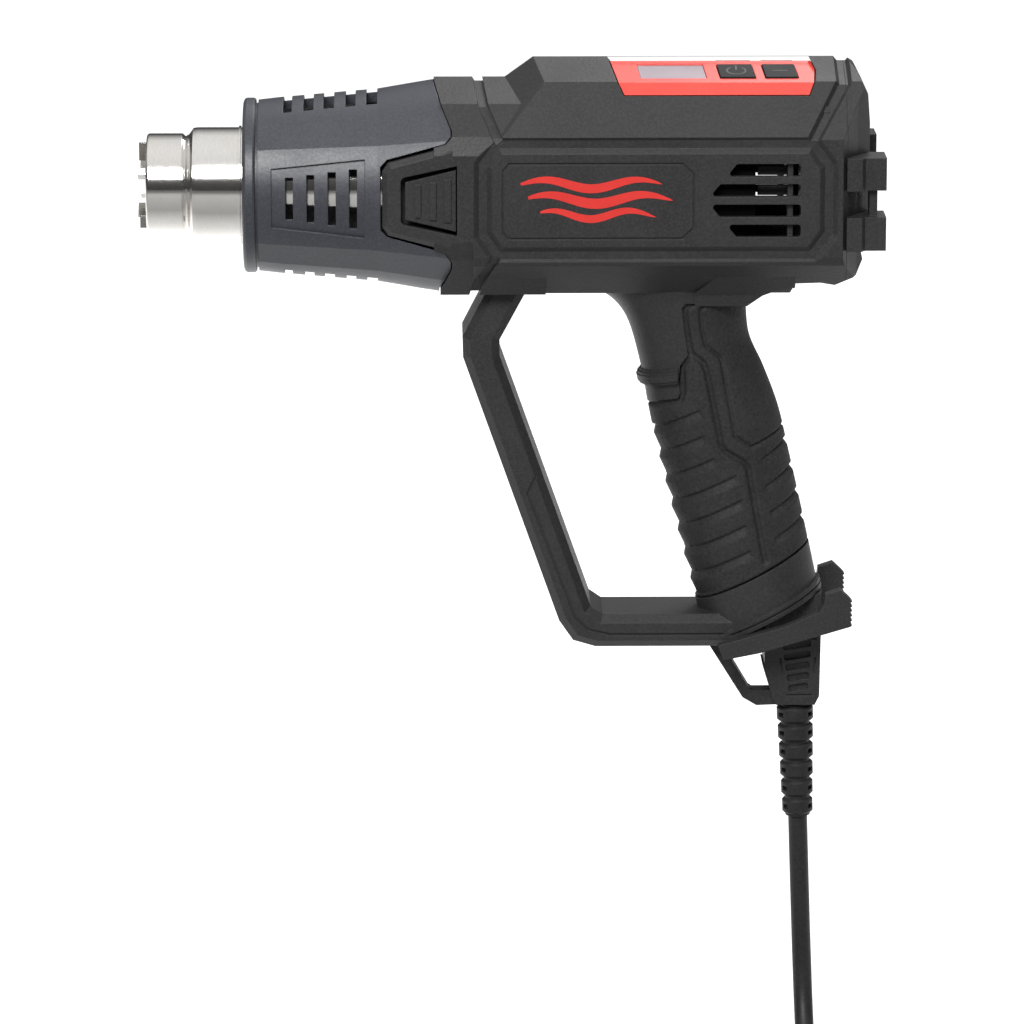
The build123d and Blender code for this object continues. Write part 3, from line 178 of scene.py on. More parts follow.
# ---------------------------------------------------------------- materials
def plastic(name, shade, roughness=0.48, grain=0.8, relief=0.03, edge=0.35, wear_and_highlight_strength=0.5, specular=0.35):
    """Moulded plastic with a spark-eroded grain; its edges are lightened a little, partly as rubbed wear and
    partly as a painted highlight.
    """
    g = Graph(name)
    normal, edges = g.rounded(edge)
    cloud = g.noise(24.0, 3.0, 0.55)
    fine = g.noise(grain, 3.0, 0.65)
    pits = g.cells(grain * 1.6)
    tone = g.mix(g.span(cloud, 0.0, 1.0), scaled(shade, 0.9), scaled(shade, 1.12))
    tone = g.mix(g.span(fine, 0.0, 0.55, 0.42, 0.66), tone, scaled(shade, 1.9))
    # Edge mask, lightened in colour and polished: partly rubbed wear, partly a painted highlight along every
    # edge.
    wear_and_painted_highlight = g.maths("MULTIPLY", edges, g.span(g.noise(3.0, 4.0, 0.7), 0.1, wear_and_highlight_strength, 0.35, 0.65))
    tone = g.mix(wear_and_painted_highlight, tone, scaled(shade, 2.4))
    gloss = g.span(g.maths("ADD", cloud, fine), roughness - 0.06, roughness + 0.08, 0.7, 1.3)
    gloss = g.maths("SUBTRACT", gloss, g.maths("MULTIPLY", wear_and_painted_highlight, 0.12))
    height = g.maths("ADD", g.maths("MULTIPLY", fine, 0.7), g.maths("MULTIPLY", pits, 0.45))
    g.set(base_color=tone, roughness=gloss, specular_ior_level=specular,
          normal=g.bump(height, relief, 1.0, normal))
    return g.material


def rubber(name, shade, roughness=0.62, grain=0.8, relief=0.09, specular=0.25, edge=0.3):
    """Soft moulded rubber: matt, finely pitted, with a faint bloom."""
    g = Graph(name)
    normal, edges = g.rounded(edge)
    fine = g.noise(grain, 4.0, 0.7)
    pits = g.cells(grain * 2.0)
    bloom = g.noise(16.0, 4.0, 0.6)
    tone = g.mix(g.span(bloom, 0.0, 1.0), scaled(shade, 0.85), scaled(shade, 1.25))
    # Painted shade: the grain's pits are coloured darker than the rubber around them.
    tone = g.mix(g.span(pits, 0.7, 0.0, 0.0, 0.45), tone, scaled(shade, 0.45))
    tone = g.mix(g.span(fine, 0.0, 0.6, 0.5, 0.7), tone, scaled(shade, 2.2))
    # Painted highlight: every edge is coloured lighter.
    tone = g.mix(g.maths("MULTIPLY", edges, 0.35), tone, scaled(shade, 1.9))
    height = g.maths("ADD", g.maths("MULTIPLY", fine, 0.6), pits)
    g.set(base_color=tone, roughness=g.span(bloom, roughness - 0.07, roughness + 0.07),
          specular_ior_level=specular, normal=g.bump(height, relief, 1.0, normal))
    return g.material


def metal(name, shade, roughness=0.2, brushed=(1.0, 1.0, 1.0), line=0.2, relief=0.004, stain=0.0, edge=0.15,
          stain_shade=(0.45, 0.32, 0.2)):
    """Metal with fine lines along its working direction and a little staining."""
    g = Graph(name)
    normal, edges = g.rounded(edge)
    lines = g.noise(line, 4.0, 0.6, g.stretched(*brushed))
    cloud = g.noise(14.0, 4.0, 0.65)
    specks = g.noise(1.1, 5.0, 0.7)
    tone = g.mix(g.span(lines, 0.0, 1.0, 0.25, 0.75), scaled(shade, 0.88), colour(*shade))
    tone = g.mix(g.span(cloud, 0.0, stain, 0.45, 0.7), tone, colour(*stain_shade))
    # Painted highlight: edges are coloured a little lighter.
    tone = g.mix(g.maths("MULTIPLY", edges, 0.3), tone, scaled(shade, 1.08))
    gloss = g.maths("ADD", g.span(lines, roughness * 0.75, roughness * 1.3),
                    g.span(specks, 0.0, roughness * 0.5, 0.55, 0.75))
    g.set(base_color=tone, metallic=1.0, roughness=gloss, normal=g.bump(lines, relief, 1.0, normal))
    return g.material


def red_plastic(name):
    """The glossy red fascia: a lightly grained, slightly translucent moulding."""
    g = Graph(name)
    normal, edges = g.rounded(0.35)
    cloud = g.noise(18.0, 3.0, 0.5)
    fine = g.noise(0.5, 3.0, 0.6)
    tone = g.mix(g.span(cloud, 0.0, 1.0), colour(0.80, 0.062, 0.046), colour(0.87, 0.078, 0.058))
    # Painted highlight: edges are coloured a paler red.
    tone = g.mix(g.maths("MULTIPLY", edges, 0.45), tone, colour(0.95, 0.16, 0.12))
    g.set(base_color=tone, roughness=g.span(fine, 0.26, 0.36), specular_ior_level=0.5,
          normal=g.bump(fine, 0.01, 0.8, normal))
    return g.material


def lcd_glass(name):
    """The display's clear cover over its unlit, lavender-grey cell."""
    g = Graph(name)
    normal, edges = g.rounded(0.25)
    cloud = g.noise(9.0, 2.0, 0.5)
    cells = g.noise(0.35, 1.0, 0.3)
    tone = g.mix(g.span(cloud, 0.0, 1.0), colour(0.39, 0.33, 0.36), colour(0.43, 0.36, 0.40))
    tone = g.mix(g.span(cells, 0.0, 0.12), tone, colour(0.31, 0.28, 0.32))
    # Painted shade: the cover is coloured darker along its edges.
    tone = g.mix(g.maths("MULTIPLY", edges, 0.6), tone, colour(0.30, 0.25, 0.28))
    g.set(base_color=tone, roughness=g.span(cloud, 0.08, 0.14), coat_weight=0.6, coat_roughness=0.05,
          normal=normal)
    return g.material


def ceramic(name, shade, roughness=0.75, grain=0.8):
    """Unglazed ceramic or mica: pale, chalky and a little scorched."""
    g = Graph(name)
    normal, edges = g.rounded(0.2)
    grain_noise = g.noise(grain, 5.0, 0.7)
    scorch = g.noise(11.0, 4.0, 0.6)
    tone = g.mix(g.span(grain_noise, 0.0, 1.0), scaled(shade, 0.86), colour(*shade))
    tone = g.mix(g.span(scorch, 0.0, 0.45, 0.5, 0.75), tone, colour(0.33, 0.24, 0.15))
    # Painted highlight: edges are coloured a little paler.
    tone = g.mix(g.maths("MULTIPLY", edges, 0.3), tone, scaled(shade, 1.1))
    g.set(base_color=tone, roughness=g.span(grain_noise, roughness - 0.1, roughness + 0.1),
          normal=g.bump(grain_noise, 0.06, 1.0, normal))
    return g.material


def circuit_board(name):
    """Green solder mask with copper tracks showing through as paler lines."""
    g = Graph(name)
    normal, edges = g.rounded(0.1)
    tracks = g.node("ShaderNodeTexBrick", {"Vector": g.place, "Scale": 160.0, "Mortar Size": 0.06},
                    squash=1.0, offset=0.37).outputs["Fac"]
    grime = g.noise(6.0, 3.0, 0.6)
    tone = g.mix(g.span(grime, 0.0, 1.0), colour(0.012, 0.085, 0.03), colour(0.018, 0.12, 0.045))
    tone = g.mix(g.maths("MULTIPLY", tracks, 0.7), tone, colour(0.05, 0.22, 0.08))
    tone = g.mix(g.maths("MULTIPLY", edges, 0.5), tone, colour(0.4, 0.38, 0.2))
    g.set(base_color=tone, roughness=g.span(grime, 0.3, 0.42), normal=g.bump(tracks, 0.03, 1.0, normal))
    return g.material


def print_ink(name):
    """Pad-printed red ink on the badge field."""
    g = Graph(name)
    fine = g.noise(0.5, 3.0, 0.6)
    cloud = g.noise(8.0, 3.0, 0.5)
    tone = g.mix(g.span(cloud, 0.0, 1.0), colour(0.66, 0.028, 0.022), colour(0.74, 0.036, 0.028))
    g.set(base_color=tone, roughness=g.span(fine, 0.38, 0.5), normal=g.bump(fine, 0.012, 1.0))
    return g.material


def pale_ink(name):
    """Dim grey print on the keys."""
    g = Graph(name)
    fine = g.noise(0.4, 3.0, 0.6)
    tone = g.mix(g.span(fine, 0.0, 1.0), colour(0.030, 0.030, 0.031), colour(0.045, 0.045, 0.046))
    g.set(base_color=tone, roughness=g.span(fine, 0.4, 0.5), normal=g.bump(fine, 0.008, 1.0))
    return g.material


def make_materials():
    """The record's material slots, each as a node material."""
    along_barrel = (0.03, 1.0, 1.0)
    round_barrel = (1.0, 0.12, 0.12)
    return {
        "black_plastic": plastic("black_plastic", (0.0242, 0.023, 0.0235), relief=0.08),
        "grey_plastic": plastic("grey_plastic", (0.031, 0.033, 0.042), roughness=0.42, relief=0.05,
            wear_and_highlight_strength=0.35, specular=0.6),
        "soft_black": rubber("soft_black", (0.0235, 0.0224, 0.0229)),
        "polished_steel": metal("polished_steel", (0.83, 0.81, 0.78), roughness=0.1, brushed=round_barrel,
            line=0.25, relief=0.0015, stain=0.12, stain_shade=(0.66, 0.56, 0.44)),
        "strip_steel": metal("strip_steel", (0.34, 0.33, 0.31), roughness=0.26, brushed=(1.0, 1.0, 1.0),
            line=0.5, relief=0.004, stain=0.3),
        "red_plastic": red_plastic("red_plastic"),
        "key_black": plastic("key_black", (0.0105, 0.0102, 0.0105), roughness=0.6, grain=0.3, relief=0.012,
            edge=0.45, wear_and_highlight_strength=0.3, specular=0.3),
        "lcd_glass": lcd_glass("lcd_glass"),
        "lcd_cell": plastic("lcd_cell", (0.3, 0.28, 0.3), roughness=0.4, grain=0.3, relief=0.01, edge=0.2,
            wear_and_highlight_strength=0.2),
        "mica": ceramic("mica", (0.62, 0.56, 0.46), roughness=0.55, grain=1.4),
        "ceramic": ceramic("ceramic", (0.74, 0.71, 0.65)),
        "heater_wire": metal("heater_wire", (0.44, 0.38, 0.33), roughness=0.38, brushed=along_barrel,
            line=0.3, relief=0.003, stain=0.7, edge=0.05),
        "motor_steel": metal("motor_steel", (0.56, 0.56, 0.55), roughness=0.3, brushed=round_barrel,
            line=0.3, relief=0.004, stain=0.15),
        "magnet": metal("magnet", (0.1, 0.1, 0.105), roughness=0.55, brushed=(1.0, 1.0, 1.0), line=0.6,
            relief=0.01, stain=0.3),
        "laminations": metal("laminations", (0.34, 0.34, 0.35), roughness=0.36, brushed=(8.0, 0.05, 0.05),
            line=0.5, relief=0.02, stain=0.3),
        "bronze": metal("bronze", (0.6, 0.38, 0.16), roughness=0.35, brushed=(1.0, 1.0, 1.0), line=0.4,
            relief=0.006, stain=0.2),
        # Near-black and almost without gloss: the duct's black plastic, darkened further as painted shade
        # inside the vents.
        "duct_plastic": plastic("duct_plastic", (0.003, 0.003, 0.003), roughness=0.75, grain=0.6,
            relief=0.03, edge=0.3, wear_and_highlight_strength=0.1, specular=0.08),
        "board_green": circuit_board("board_green"),
        "terminal_plastic": plastic("terminal_plastic", (0.5, 0.49, 0.46), roughness=0.42, grain=0.5,
            relief=0.02, edge=0.3, wear_and_highlight_strength=0.3),
        "screw_steel": metal("screw_steel", (0.3, 0.3, 0.31), roughness=0.34, brushed=(1.0, 1.0, 1.0),
            line=0.3, relief=0.005, stain=0.2),
        "cord_rubber": rubber("cord_rubber", (0.0165, 0.016, 0.0162), roughness=0.52, grain=0.8,
            relief=0.03, specular=0.3, edge=0.4),
        "plug_rubber": rubber("plug_rubber", (0.02, 0.0195, 0.0198), roughness=0.5, grain=0.7, relief=0.04,
            specular=0.3, edge=0.8),
        "pin_nickel": metal("pin_nickel", (0.72, 0.69, 0.63), roughness=0.16, brushed=along_barrel,
            line=0.3, relief=0.003, stain=0.15),
        "tie_black": plastic("tie_black", (0.028, 0.028, 0.029), roughness=0.45, grain=0.4, relief=0.015,
            edge=0.3, wear_and_highlight_strength=0.3),
        "print_red": print_ink("print_red"),
        "print_pale": pale_ink("print_pale"),
    }


materials = make_materials()


# ---------------------------------------------------------------- the CAD nodes' own finish
def finish_cad_nodes():
    """Gives every CAD node the node material of its slot in the record."""
    slot_of = {row["node"]: row["material_slot"] for row in frame["record"]["subparts"]}
    for name, node in nodes.items():
        for place in node.material_slots:
            place.material = materials[slot_of[name]]


# ---------------------------------------------------------------- the stage
FLOOR_GLOW_FRONT = 0.02          # the floor paper's own light, before and behind the gun
FLOOR_GLOW_BACK = 0.42
FLOOR_HALF = 9.0                 # metres
SKY = ((0.0, 0.05), (0.3, 0.08), (0.5, 0.32), (0.8, 0.85), (1.0, 0.95))      # height of the sky, brightness
LIGHTS = (                       # name, place, target, size in metres, power in watts
    ("key_light", (-500, -1800, 1400), (-60, 0, 20), 0.9, 50.0),
    ("back_light", (500, 1200, 1500), (-20, 0, 40), 1.0, 14.0),
)


def floor_paper():
    """Seamless white paper, painted darker in front of the gun as painted shade, that glows more behind it as
    painted light.
    """
    g = Graph("floor_paper")
    fine = g.noise(3.0, 3.0, 0.6)
    depth = g.node("ShaderNodeSeparateXYZ", {0: g.place}).outputs["Y"]
    glow = g.span(depth, FLOOR_GLOW_FRONT, FLOOR_GLOW_BACK, -0.05, 0.22)
    # Painted shade: the paper's colour goes from pale behind the gun to dark grey in front of it.
    shade = g.mix(g.span(depth, 0.0, 1.0, -0.30, 0.12), colour(0.26, 0.26, 0.26), colour(0.90, 0.90, 0.90))
    g.set(base_color=g.mix(g.span(fine, 0.0, 0.02), shade, colour(1.0, 1.0, 1.0)),
          roughness=g.span(fine, 0.75, 0.85), emission_strength=glow)
    g.shader.inputs["Emission Color"].default_value = colour(1.0, 1.0, 1.0)
    return g.material


def studio_world():
    """Bright overhead and dim near the horizon, as in a room round a light tent."""
    world = bpy.data.worlds.new("studio")
    world.use_nodes = True
    tree = world.node_tree
    direction = tree.nodes.new("ShaderNodeTexCoord").outputs["Generated"]
    height = tree.nodes.new("ShaderNodeSeparateXYZ")
    tree.links.new(direction, height.inputs[0])
    ramp = tree.nodes.new("ShaderNodeValToRGB")
    stops = ramp.color_ramp.elements
    stops[0].position, stops[1].position = SKY[0][0], SKY[-1][0]
    for place, _ in SKY[1:-1]:
        stops.new(place)
    top = max(level for _, level in SKY)
    for stop, (_, level) in zip(stops, SKY):
        stop.color = colour(level / top, level / top, level / top)
    tree.links.new(height.outputs["Z"], ramp.inputs["Fac"])
    background = tree.nodes["Background"]
    tree.links.new(ramp.outputs["Color"], background.inputs["Color"])
    background.inputs["Strength"].default_value = top
    scene.world = world


def soft_light(name, place, target, size, power):
    data = bpy.data.lights.new(name, "AREA")
    data.shape = "SQUARE"
    data.size = size
    data.energy = power
    light = new_object(name, data)
    light.location = place
    light.rotation_mode = "QUATERNION"
    light.rotation_quaternion = (target - place).to_track_quat("-Z", "Y")


def make_stage():
    """A white floor that runs out of the picture, with painted shade in front of the gun and a painted glow
    behind it, and large soft lights.
    """
    mesh = bpy.data.meshes.new("floor")
    signs = ((-1, -1), (1, -1), (1, 1), (-1, 1))
    corners = [(FLOOR_HALF * x, FLOOR_HALF * y, FLOOR_Z * MM) for x, y in signs]
    mesh.from_pydata(corners, [], [(0, 1, 2, 3)])
    mesh.materials.append(floor_paper())
    new_object("floor", mesh)
    studio_world()
    for name, place, target, size, power in LIGHTS:
        soft_light(name, point(*place), point(*target), size, power)
    scene.view_settings.view_transform = "Standard"
    scene.view_settings.look = "None"


# ---------------------------------------------------------------- mains cord
CORD_D = 6.5
COIL_CENTRE = (1.0, -45.5)
COIL_LAYER_Z = (-223.05, -229.65, -236.25)
COIL_INNER_R = 28.6
COIL_PITCH = 6.6
COIL_TURNS = 9.25
TURNS_PER_LAYER = 3
POINTS_PER_TURN = 24
LAYER_EASE = 0.18                # part of a turn over which the cord changes layer
CORD_DROP = [
    (26.7, 0.0, -134.2),
    (27.7, 0.0, -163.0),
    (28.9, 0.0, -192.6),
    (29.3, -5.8, -206.6),
    (29.5, -16.5, -217.3),
    (29.6, -30.4, -223.05),
]
PLUG_LEAD = [
    (-19.0, -93.5, -236.75),
    (-38.0, -90.0, -234.8),
    (-55.0, -84.1, -227.1),
    (-72.0, -78.8, -227.0),
]


def coil_points():
    """Three layers of turns, outwards, inwards and outwards again."""
    grow = 1.0 / math.cos(math.pi / POINTS_PER_TURN)
    made = []
    for step in range(int(COIL_TURNS * POINTS_PER_TURN) + 1):
        turn = step / POINTS_PER_TURN
        layer = min(len(COIL_LAYER_Z) - 1, int(turn / TURNS_PER_LAYER))
        inside = turn - TURNS_PER_LAYER * layer
        rows = inside if layer != 1 else TURNS_PER_LAYER - inside
        radius = (COIL_INNER_R + COIL_PITCH * min(rows, TURNS_PER_LAYER)) * grow
        z = COIL_LAYER_Z[layer]
        if layer > 0 and inside < LAYER_EASE:
            blend = 0.5 - 0.5 * math.cos(math.pi * inside / LAYER_EASE)
            z = COIL_LAYER_Z[layer - 1] * (1 - blend) + z * blend
        angle = -2 * math.pi * turn
        made.append((COIL_CENTRE[0] + radius * math.cos(angle), COIL_CENTRE[1] + radius * math.sin(angle), z))
    return made


def make_cord():
    """The whole mains cord as one smooth line, from the strain relief to the plug."""
    route = CORD_DROP + coil_points() + PLUG_LEAD
    curve = bpy.data.curves.new("mains_cord_line", "CURVE")
    curve.dimensions = "3D"
    curve.bevel_depth = CORD_D / 2 * MM
    curve.bevel_resolution = 6
    curve.resolution_u = 6
    curve.use_fill_caps = True
    spline = curve.splines.new("NURBS")
    spline.points.add(len(route) - 1)
    for control, place in zip(spline.points, route):
        control.co = (place[0] * MM, place[1] * MM, place[2] * MM, 1.0)
    spline.order_u = 3
    spline.use_endpoint_u = True
    curve.materials.append(materials["cord_rubber"])
    cord = new_object("mains_cable", curve)
    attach(cord, "housing")
    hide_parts("mains_cord", "plug_lead", "cord_coil")


# ---------------------------------------------------------------- soft grip covers
# Distances down the handle's axis and across it, towards the back, as (along, across).
# Each station is (along, front, back, half width).
HANDLE_STATIONS = np.array([
    (-66.0, -36.0, 24.0, 22.0), (-57.0, -26.5, 22.5, 19.8), (-49.0, -21.6, 20.6, 18.3),
    (-40.0, -20.4, 18.8, 17.4), (-30.0, -20.6, 17.2, 17.0), (-18.0, -21.6, 18.9, 17.2),
    (-4.0, -22.6, 20.2, 17.5), (12.0, -23.2, 19.7, 17.5),
    (30.0, -23.6, 18.9, 17.5), (52.0, -23.9, 17.7, 17.5), (80.0, -24.2, 17.2, 17.5)])
GRIP_FRONT_EDGE = np.array([
    (-60.0, -2.0), (-47.3, -2.1), (-43.2, -2.9), (-31.8, -4.0),
    (-28.1, -7.6), (-23.5, -9.2), (-19.0, -10.4), (-17.6, -11.2)])
GRIP_SHOULDER = -17.3            # under this the cover also wraps the front
GRIP_TOP_Z = 46.3
GRIP_SEAM = ((-6.3, -56.0), (29.4, -37.6))
WIDE_GROOVES = [
    [(-49, 5.3), (-46.7, -1.2), (-42.3, -2.1), (-31.6, -3.2), (-27.6, -7.3), (-24, -8.3), (-18.9, -9.5),
     (-16.7, -10.9), (-16.5, -15.1), (-16.6, -26)],
    [(-31.5, -3.2), (-27, 0), (-24, 0.3), (1.5, -1.6), (3.8, -0.9), (9.5, 4.4), (11.5, 5.1), (44, 2.3)]]
FINE_GROOVES = [
    [(-50, 8.5), (-44.5, 3.7), (-38.1, 2.4), (-32.4, 2.4), (-27.5, 5.8), (-25.5, 6.1), (-16.7, 5.3),
     (-7.5, 4.5), (0.1, 3.8), (5.2, 8.1), (4.6, 12.9), (3.6, 19.2), (3, 26)]]
WIDE_HALF, WIDE_DEPTH = 1.4, 1.3
FINE_HALF, FINE_DEPTH = 0.95, 1.0
RIB_PITCH = 8.63
RIB_HEIGHT = 3.1
COVER_THICKNESS = 0.75
EDGE_ROLL = 0.7                  # how far the cover's rim turns in
GRID_STEP = 0.4
COLUMNS_AHEAD, COLUMNS_BEHIND = 42, 78
FRONT_RIB_ENDS = (-5.5, -6.4, -5.0, 0.3, 0.0, -0.8, -1.6)
REAR_RIB_STARTS = ((9.8, 10.1), (8.8, 19.4), (8.2, 28.4), (7.4, 37.5))


def smooth_step(value, low, high):
    t = np.clip((value - low) / (high - low), 0.0, 1.0)
    return t * t * (3 - 2 * t)


def station(along, column):
    """A handle station's value at a distance along, on a smooth curve through them."""
    knots, values = HANDLE_STATIONS[:, 0], HANDLE_STATIONS[:, column]
    slopes = np.gradient(values, knots)
    i = np.clip(np.searchsorted(knots, along) - 1, 0, len(knots) - 2)
    gap = knots[i + 1] - knots[i]
    t = (along - knots[i]) / gap
    return ((1 + 2 * t) * (1 - t) ** 2 * values[i] + t * (1 - t) ** 2 * gap * slopes[i]
            + t * t * (3 - 2 * t) * values[i + 1] + t * t * (t - 1) * gap * slopes[i + 1])


def distance_to(points, along, across):
    """Distance from each place to a line of (along, across) points."""
    nearest = np.full(along.shape, 1e9)
    for (a0, c0), (a1, c1) in zip(points, points[1:]):
        da, dc = a1 - a0, c1 - c0
        t = np.clip(((along - a0) * da + (across - c0) * dc) / (da * da + dc * dc), 0, 1)
        nearest = np.minimum(nearest, np.hypot(along - a0 - t * da, across - c0 - t * dc))
    return nearest


def groove_depth(along, across):
    """How deep the moulded lines and finger ribs cut into the cover, in millimetres."""
    depth = np.zeros(along.shape)
    for lines, half, deep in ((WIDE_GROOVES, WIDE_HALF, WIDE_DEPTH), (FINE_GROOVES, FINE_HALF, FINE_DEPTH)):
        for line in lines:
            off = distance_to(line, along, across)
            depth = np.maximum(depth, deep * (1 - smooth_step(off, 0.25 * half, half)))
    for rib, end in enumerate(FRONT_RIB_ENDS):
        t = along - (-9.0 + RIB_PITCH * rib - 0.2 * (across + 20.5))
        cut = smooth_step(t, -0.25, 0.2) * (1 - np.clip(t / RIB_HEIGHT, 0, 1))
        deep = np.interp(-across, (-end, 22.0), (0.95, 1.4))
        depth = np.maximum(depth, deep * cut * (1 - smooth_step(across, end - 0.5, end + 0.5)))
        fall = np.clip((t - RIB_HEIGHT) / (RIB_PITCH - RIB_HEIGHT), 0, 1) * (t < RIB_PITCH)
        depth = np.maximum(depth, 1.1 * fall * (1 - smooth_step(across, -22.0, -14.0)))
    for start, first in REAR_RIB_STARTS:
        t = along - (first - 0.26 * (across - start))
        cut = smooth_step(t, -0.25, 0.2) * (1 - np.clip(t / RIB_HEIGHT, 0, 1))
        deep = np.interp(across, (start, 18.0), (0.95, 1.4))
        depth = np.maximum(depth, deep * cut * smooth_step(across, start - 0.5, start + 0.5))
    return depth


def grip_grid():
    """The cover's grid: distance along and angle round, 0 in front, half a turn behind."""
    alongs = np.arange(-56.0, 58.0, GRID_STEP)
    front, back = station(alongs, 1), station(alongs, 2)
    edge = np.interp(alongs, GRIP_FRONT_EDGE[:, 0], GRIP_FRONT_EDGE[:, 1])
    start = np.arccos(np.clip(((front + back) / 2 - edge) / ((back - front) / 2), -1, 1))
    shoulder = start[np.searchsorted(alongs, GRIP_SHOULDER)]
    start = np.where(alongs > GRIP_SHOULDER, shoulder, start)
    ahead, behind = COLUMNS_AHEAD, COLUMNS_BEHIND
    share = np.linspace(0, 1, behind + 1)
    rear = start[:, None] + (math.pi - start[:, None]) * share[None, :]
    ahead_part = np.linspace(0, 1, ahead, endpoint=False)[None, :] * start[:, None]
    return np.repeat(alongs[:, None], ahead + behind + 1, 1), np.hstack([ahead_part, rear]), ahead


def trimmed(along, across):
    """Slides places past the cover's top or seam back onto that edge, and says which."""
    sin, cos = math.sin(GRIP_TILT), math.cos(GRIP_TILT)
    top = (across * sin - GRIP_TOP_Z) / cos
    (xa, za), (xb, zb) = GRIP_SEAM
    slope = (zb - za) / (xb - xa)
    low = (across * (sin - slope * cos) - za + slope * xa) / (cos + slope * sin)
    return np.clip(along, top, low), along <= top, along >= low, np.minimum(along - top, low - along)


def grip_cover(side, name):
    """One soft cover with its moulded lines, closed and hollow against the core."""
    along, angle, ahead = grip_grid()
    front, back, half = (station(along, column) for column in (1, 2, 3))
    across = (front + back) / 2 - (back - front) / 2 * np.cos(angle)
    along, over, under, inside = trimmed(along, across)
    front, back, half = (station(along, column) for column in (1, 2, 3))
    reach = (back - front) / 2
    across = (front + back) / 2 - reach * np.cos(angle)
    width = half * np.sin(angle)
    nx, ny = -np.cos(angle) / reach, np.sin(angle) / half
    size = np.hypot(nx, ny)
    depth = groove_depth(along, across)
    depth = np.maximum(depth, EDGE_ROLL * (1 - smooth_step(inside, 0.0, EDGE_ROLL)))
    across = across - nx / size * depth
    width = width - ny / size * depth
    x = along * math.sin(GRIP_TILT) + across * math.cos(GRIP_TILT)
    z = -along * math.cos(GRIP_TILT) + across * math.sin(GRIP_TILT)
    y = side * np.maximum(width, 0.02)

    rows, columns = along.shape
    made = bmesh.new()
    corners = []
    for i in range(rows):
        corners.append([made.verts.new(point(x[i, j], y[i, j], z[i, j])) for j in range(columns)])
    gone = (over, under)
    for i in range(rows - 1):
        first = 0 if along[i, ahead] >= GRIP_SHOULDER else ahead
        for j in range(first, columns - 1):
            if any(mask[i, j] and mask[i + 1, j] and mask[i, j + 1] and mask[i + 1, j + 1] for mask in gone):
                continue
            ring = [corners[i][j], corners[i][j + 1], corners[i + 1][j + 1], corners[i + 1][j]]
            made.faces.new(ring if side < 0 else ring[::-1])
    bmesh.ops.delete(made, geom=[v for v in made.verts if not v.link_faces], context="VERTS")
    bmesh.ops.remove_doubles(made, verts=made.verts, dist=0.02 * MM)
    bmesh.ops.dissolve_degenerate(made, edges=made.edges, dist=0.01 * MM)
    bmesh.ops.recalc_face_normals(made, faces=made.faces)
    mesh = bpy.data.meshes.new(name)
    made.to_mesh(mesh)
    made.free()
    outward = sum(polygon.normal.y * polygon.area for polygon in mesh.polygons)
    if outward * side < 0:
        mesh.flip_normals()
    mesh.shade_smooth()
    mesh.materials.append(materials["soft_black"])
    cover = new_object(name, mesh)
    thick = cover.modifiers.new("thickness", "SOLIDIFY")
    thick.thickness = COVER_THICKNESS * MM
    thick.offset = -1.0
    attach(cover, "housing")
    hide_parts(name.replace("grip_cover", "soft_grip"))


# ---------------------------------------------------------------- printed marks
PRINT_THICKNESS = 0.06
PRINT_GAP = 0.004                # between the print and the panel under it


def ribbon(lines, place, name, body, slot):
    """Raised ink along flat lines of (u, v, half width), laid out by place(u, v, lift)."""
    made = bmesh.new()
    for line in lines:
        closed = line[0][:2] == line[-1][:2]
        rings = []
        count = len(line)
        for k, (u, v, half) in enumerate(line):
            before = line[k - 1] if k > 0 else (line[-2] if closed else line[0])
            after = line[k + 1] if k < count - 1 else (line[1] if closed else line[-1])
            du, dv = after[0] - before[0], after[1] - before[1]
            length = math.hypot(du, dv)
            nu, nv = -dv / length * half, du / length * half
            section = ((u + nu, v + nv, 0.0), (u + nu, v + nv, 1.0),
                       (u - nu, v - nv, 1.0), (u - nu, v - nv, 0.0))
            rings.append([made.verts.new(place(*corner)) for corner in section])
        if closed:
            rings[-1] = rings[0]
        for a, b in zip(rings, rings[1:]):
            for k in range(4):
                made.faces.new([a[k], a[(k + 1) % 4], b[(k + 1) % 4], b[k]])
        if not closed:
            made.faces.new(rings[0][::-1])
            made.faces.new(rings[-1])
    bmesh.ops.delete(made, geom=[v for v in made.verts if not v.link_faces], context="VERTS")
    bmesh.ops.recalc_face_normals(made, faces=made.faces)
    mesh = bpy.data.meshes.new(name)
    made.to_mesh(mesh)
    made.free()
    mesh.materials.append(materials[slot])
    piece = new_object(name, mesh)
    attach(piece, body)
    return piece


def air_wave(x0, x1, h, swing, thick, phase):
    """One tapering wave of the warm-air mark."""
    steps = 48
    line = []
    for k in range(steps + 1):
        t = k / steps
        taper = math.sin(math.pi * min(1.0, 0.04 + 0.96 * t)) ** 0.6
        line.append((x0 + (x1 - x0) * t, h + swing * math.sin(2 * math.pi * (1.5 * t + phase)),
                     max(0.06, thick / 2 * taper)))
    return line


def on_panel(side):
    """Lays (x, height over the axis) places on one of the flat side panels."""
    def place(u, v, lift):
        return point(u, side * (PANEL_Y + PRINT_GAP + PRINT_THICKNESS * lift), BARREL_Z + v)
    return place


def badge_marks():
    """Three strokes of rising air on each side panel."""
    waves = [air_wave(-68.5, -22.0, 5.6, 1.5, 3.0, 0.0), air_wave(-66.0, -18.5, 0.6, 1.5, 3.4, 0.05),
             air_wave(-62.0, -24.0, -4.6, 1.4, 2.6, 0.1)]
    for side, name in ((-1, "left_badge"), (1, "right_badge")):
        ribbon(waves, on_panel(side), name, "housing", "print_red")


SLOPE_TILT = math.radians(13.67)
SLOPE_TOP_H = 41.5
KEY_TOP = 0.505            # a key's face over the panel's slope


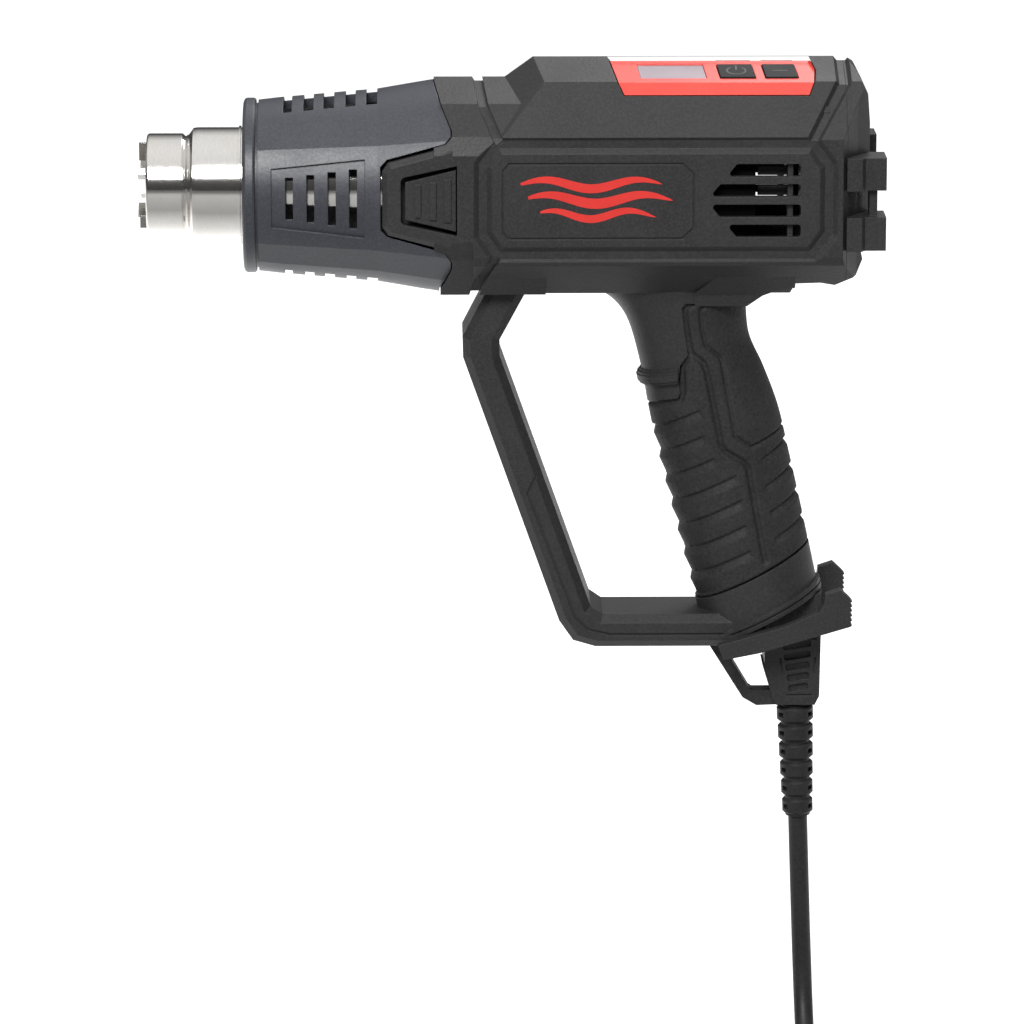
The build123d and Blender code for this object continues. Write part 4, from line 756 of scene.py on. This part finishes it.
def on_slope(side):
    """Lays (x, down-slope) places on one side of the control panel."""
    def place(u, v, lift):
        out = KEY_TOP + 0.04 * lift
        y = v * math.cos(SLOPE_TILT) + out * math.sin(SLOPE_TILT)
        z = BARREL_Z + SLOPE_TOP_H - v * math.sin(SLOPE_TILT) + out * math.cos(SLOPE_TILT)
        return point(u, side * y, z)
    return place


def arc(u, v, radius, start, end, half, flatten=1.0, steps=32):
    turns = [math.radians(start + (end - start) * k / steps) for k in range(steps + 1)]
    return [(u + radius * math.cos(a), v - radius * flatten * math.sin(a), half) for a in turns]


def key_marks():
    """A plain sign on each key: power, less, more and airflow."""
    thin = 0.28
    power = [arc(3.2, 9.9, 3.1, 125, 415, thin), [(3.2, 5.6, thin), (3.2, 9.4, thin)]]
    less = [[(15.2, 9.9, thin), (20.2, 9.9, thin)]]
    more = [[(15.2, 9.9, thin), (20.2, 9.9, thin)], [(17.7, 7.3, thin * 0.999), (17.7, 12.5, thin * 0.999)]]
    flow = [[(6.6 * k / 24, h + 0.5 * math.sin(2 * math.pi * k / 24), thin * 0.9) for k in range(25)]
            for h in (7.7, 9.9, 12.1)]
    for side, body, lines in ((-1, "power_button", power), (-1, "minus_button", less),
                              (1, "plus_button", more), (1, "airflow_button", flow)):
        ribbon(lines, on_slope(side), body.replace("button", "sign"), body, "print_pale")


# ---------------------------------------------------------------- heater element
HEATER_SPAN = (-163.6, -108.4)
PASSAGE_RINGS = (6.6, 11.4)
WINDING_R = 1.45
WINDING_PITCH = 2.2
WIRE_R = 0.28


def heater_windings():
    """Resistance wire coiled through the ceramic former's two rings of passages."""
    curve = bpy.data.curves.new("heater_windings", "CURVE")
    curve.dimensions = "3D"
    curve.bevel_depth = WIRE_R * MM
    curve.bevel_resolution = 1
    curve.use_fill_caps = True
    front, rear = HEATER_SPAN
    per_turn = 10
    count = int((rear - front) / WINDING_PITCH * per_turn)
    for ring in PASSAGE_RINGS:
        for turn in range(6):
            middle = math.radians(60 * turn)
            y, h = ring * math.cos(middle), ring * math.sin(middle)
            spline = curve.splines.new("POLY")
            spline.points.add(count - 1)
            for k, control in enumerate(spline.points):
                a = 2 * math.pi * k / per_turn
                x = front + (rear - front) * k / (count - 1)
                place = point(x, y + WINDING_R * math.cos(a), BARREL_Z + h + WINDING_R * math.sin(a))
                control.co = (*place, 1.0)
    curve.materials.append(materials["heater_wire"])
    wire = new_object("heater_windings", curve)
    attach(wire, "housing")
    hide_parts("heating_coils")


make_camera()
make_cord()
grip_cover(-1, "left_grip_cover")
grip_cover(1, "right_grip_cover")
badge_marks()
key_marks()
heater_windings()
make_stage()
finish_cad_nodes()
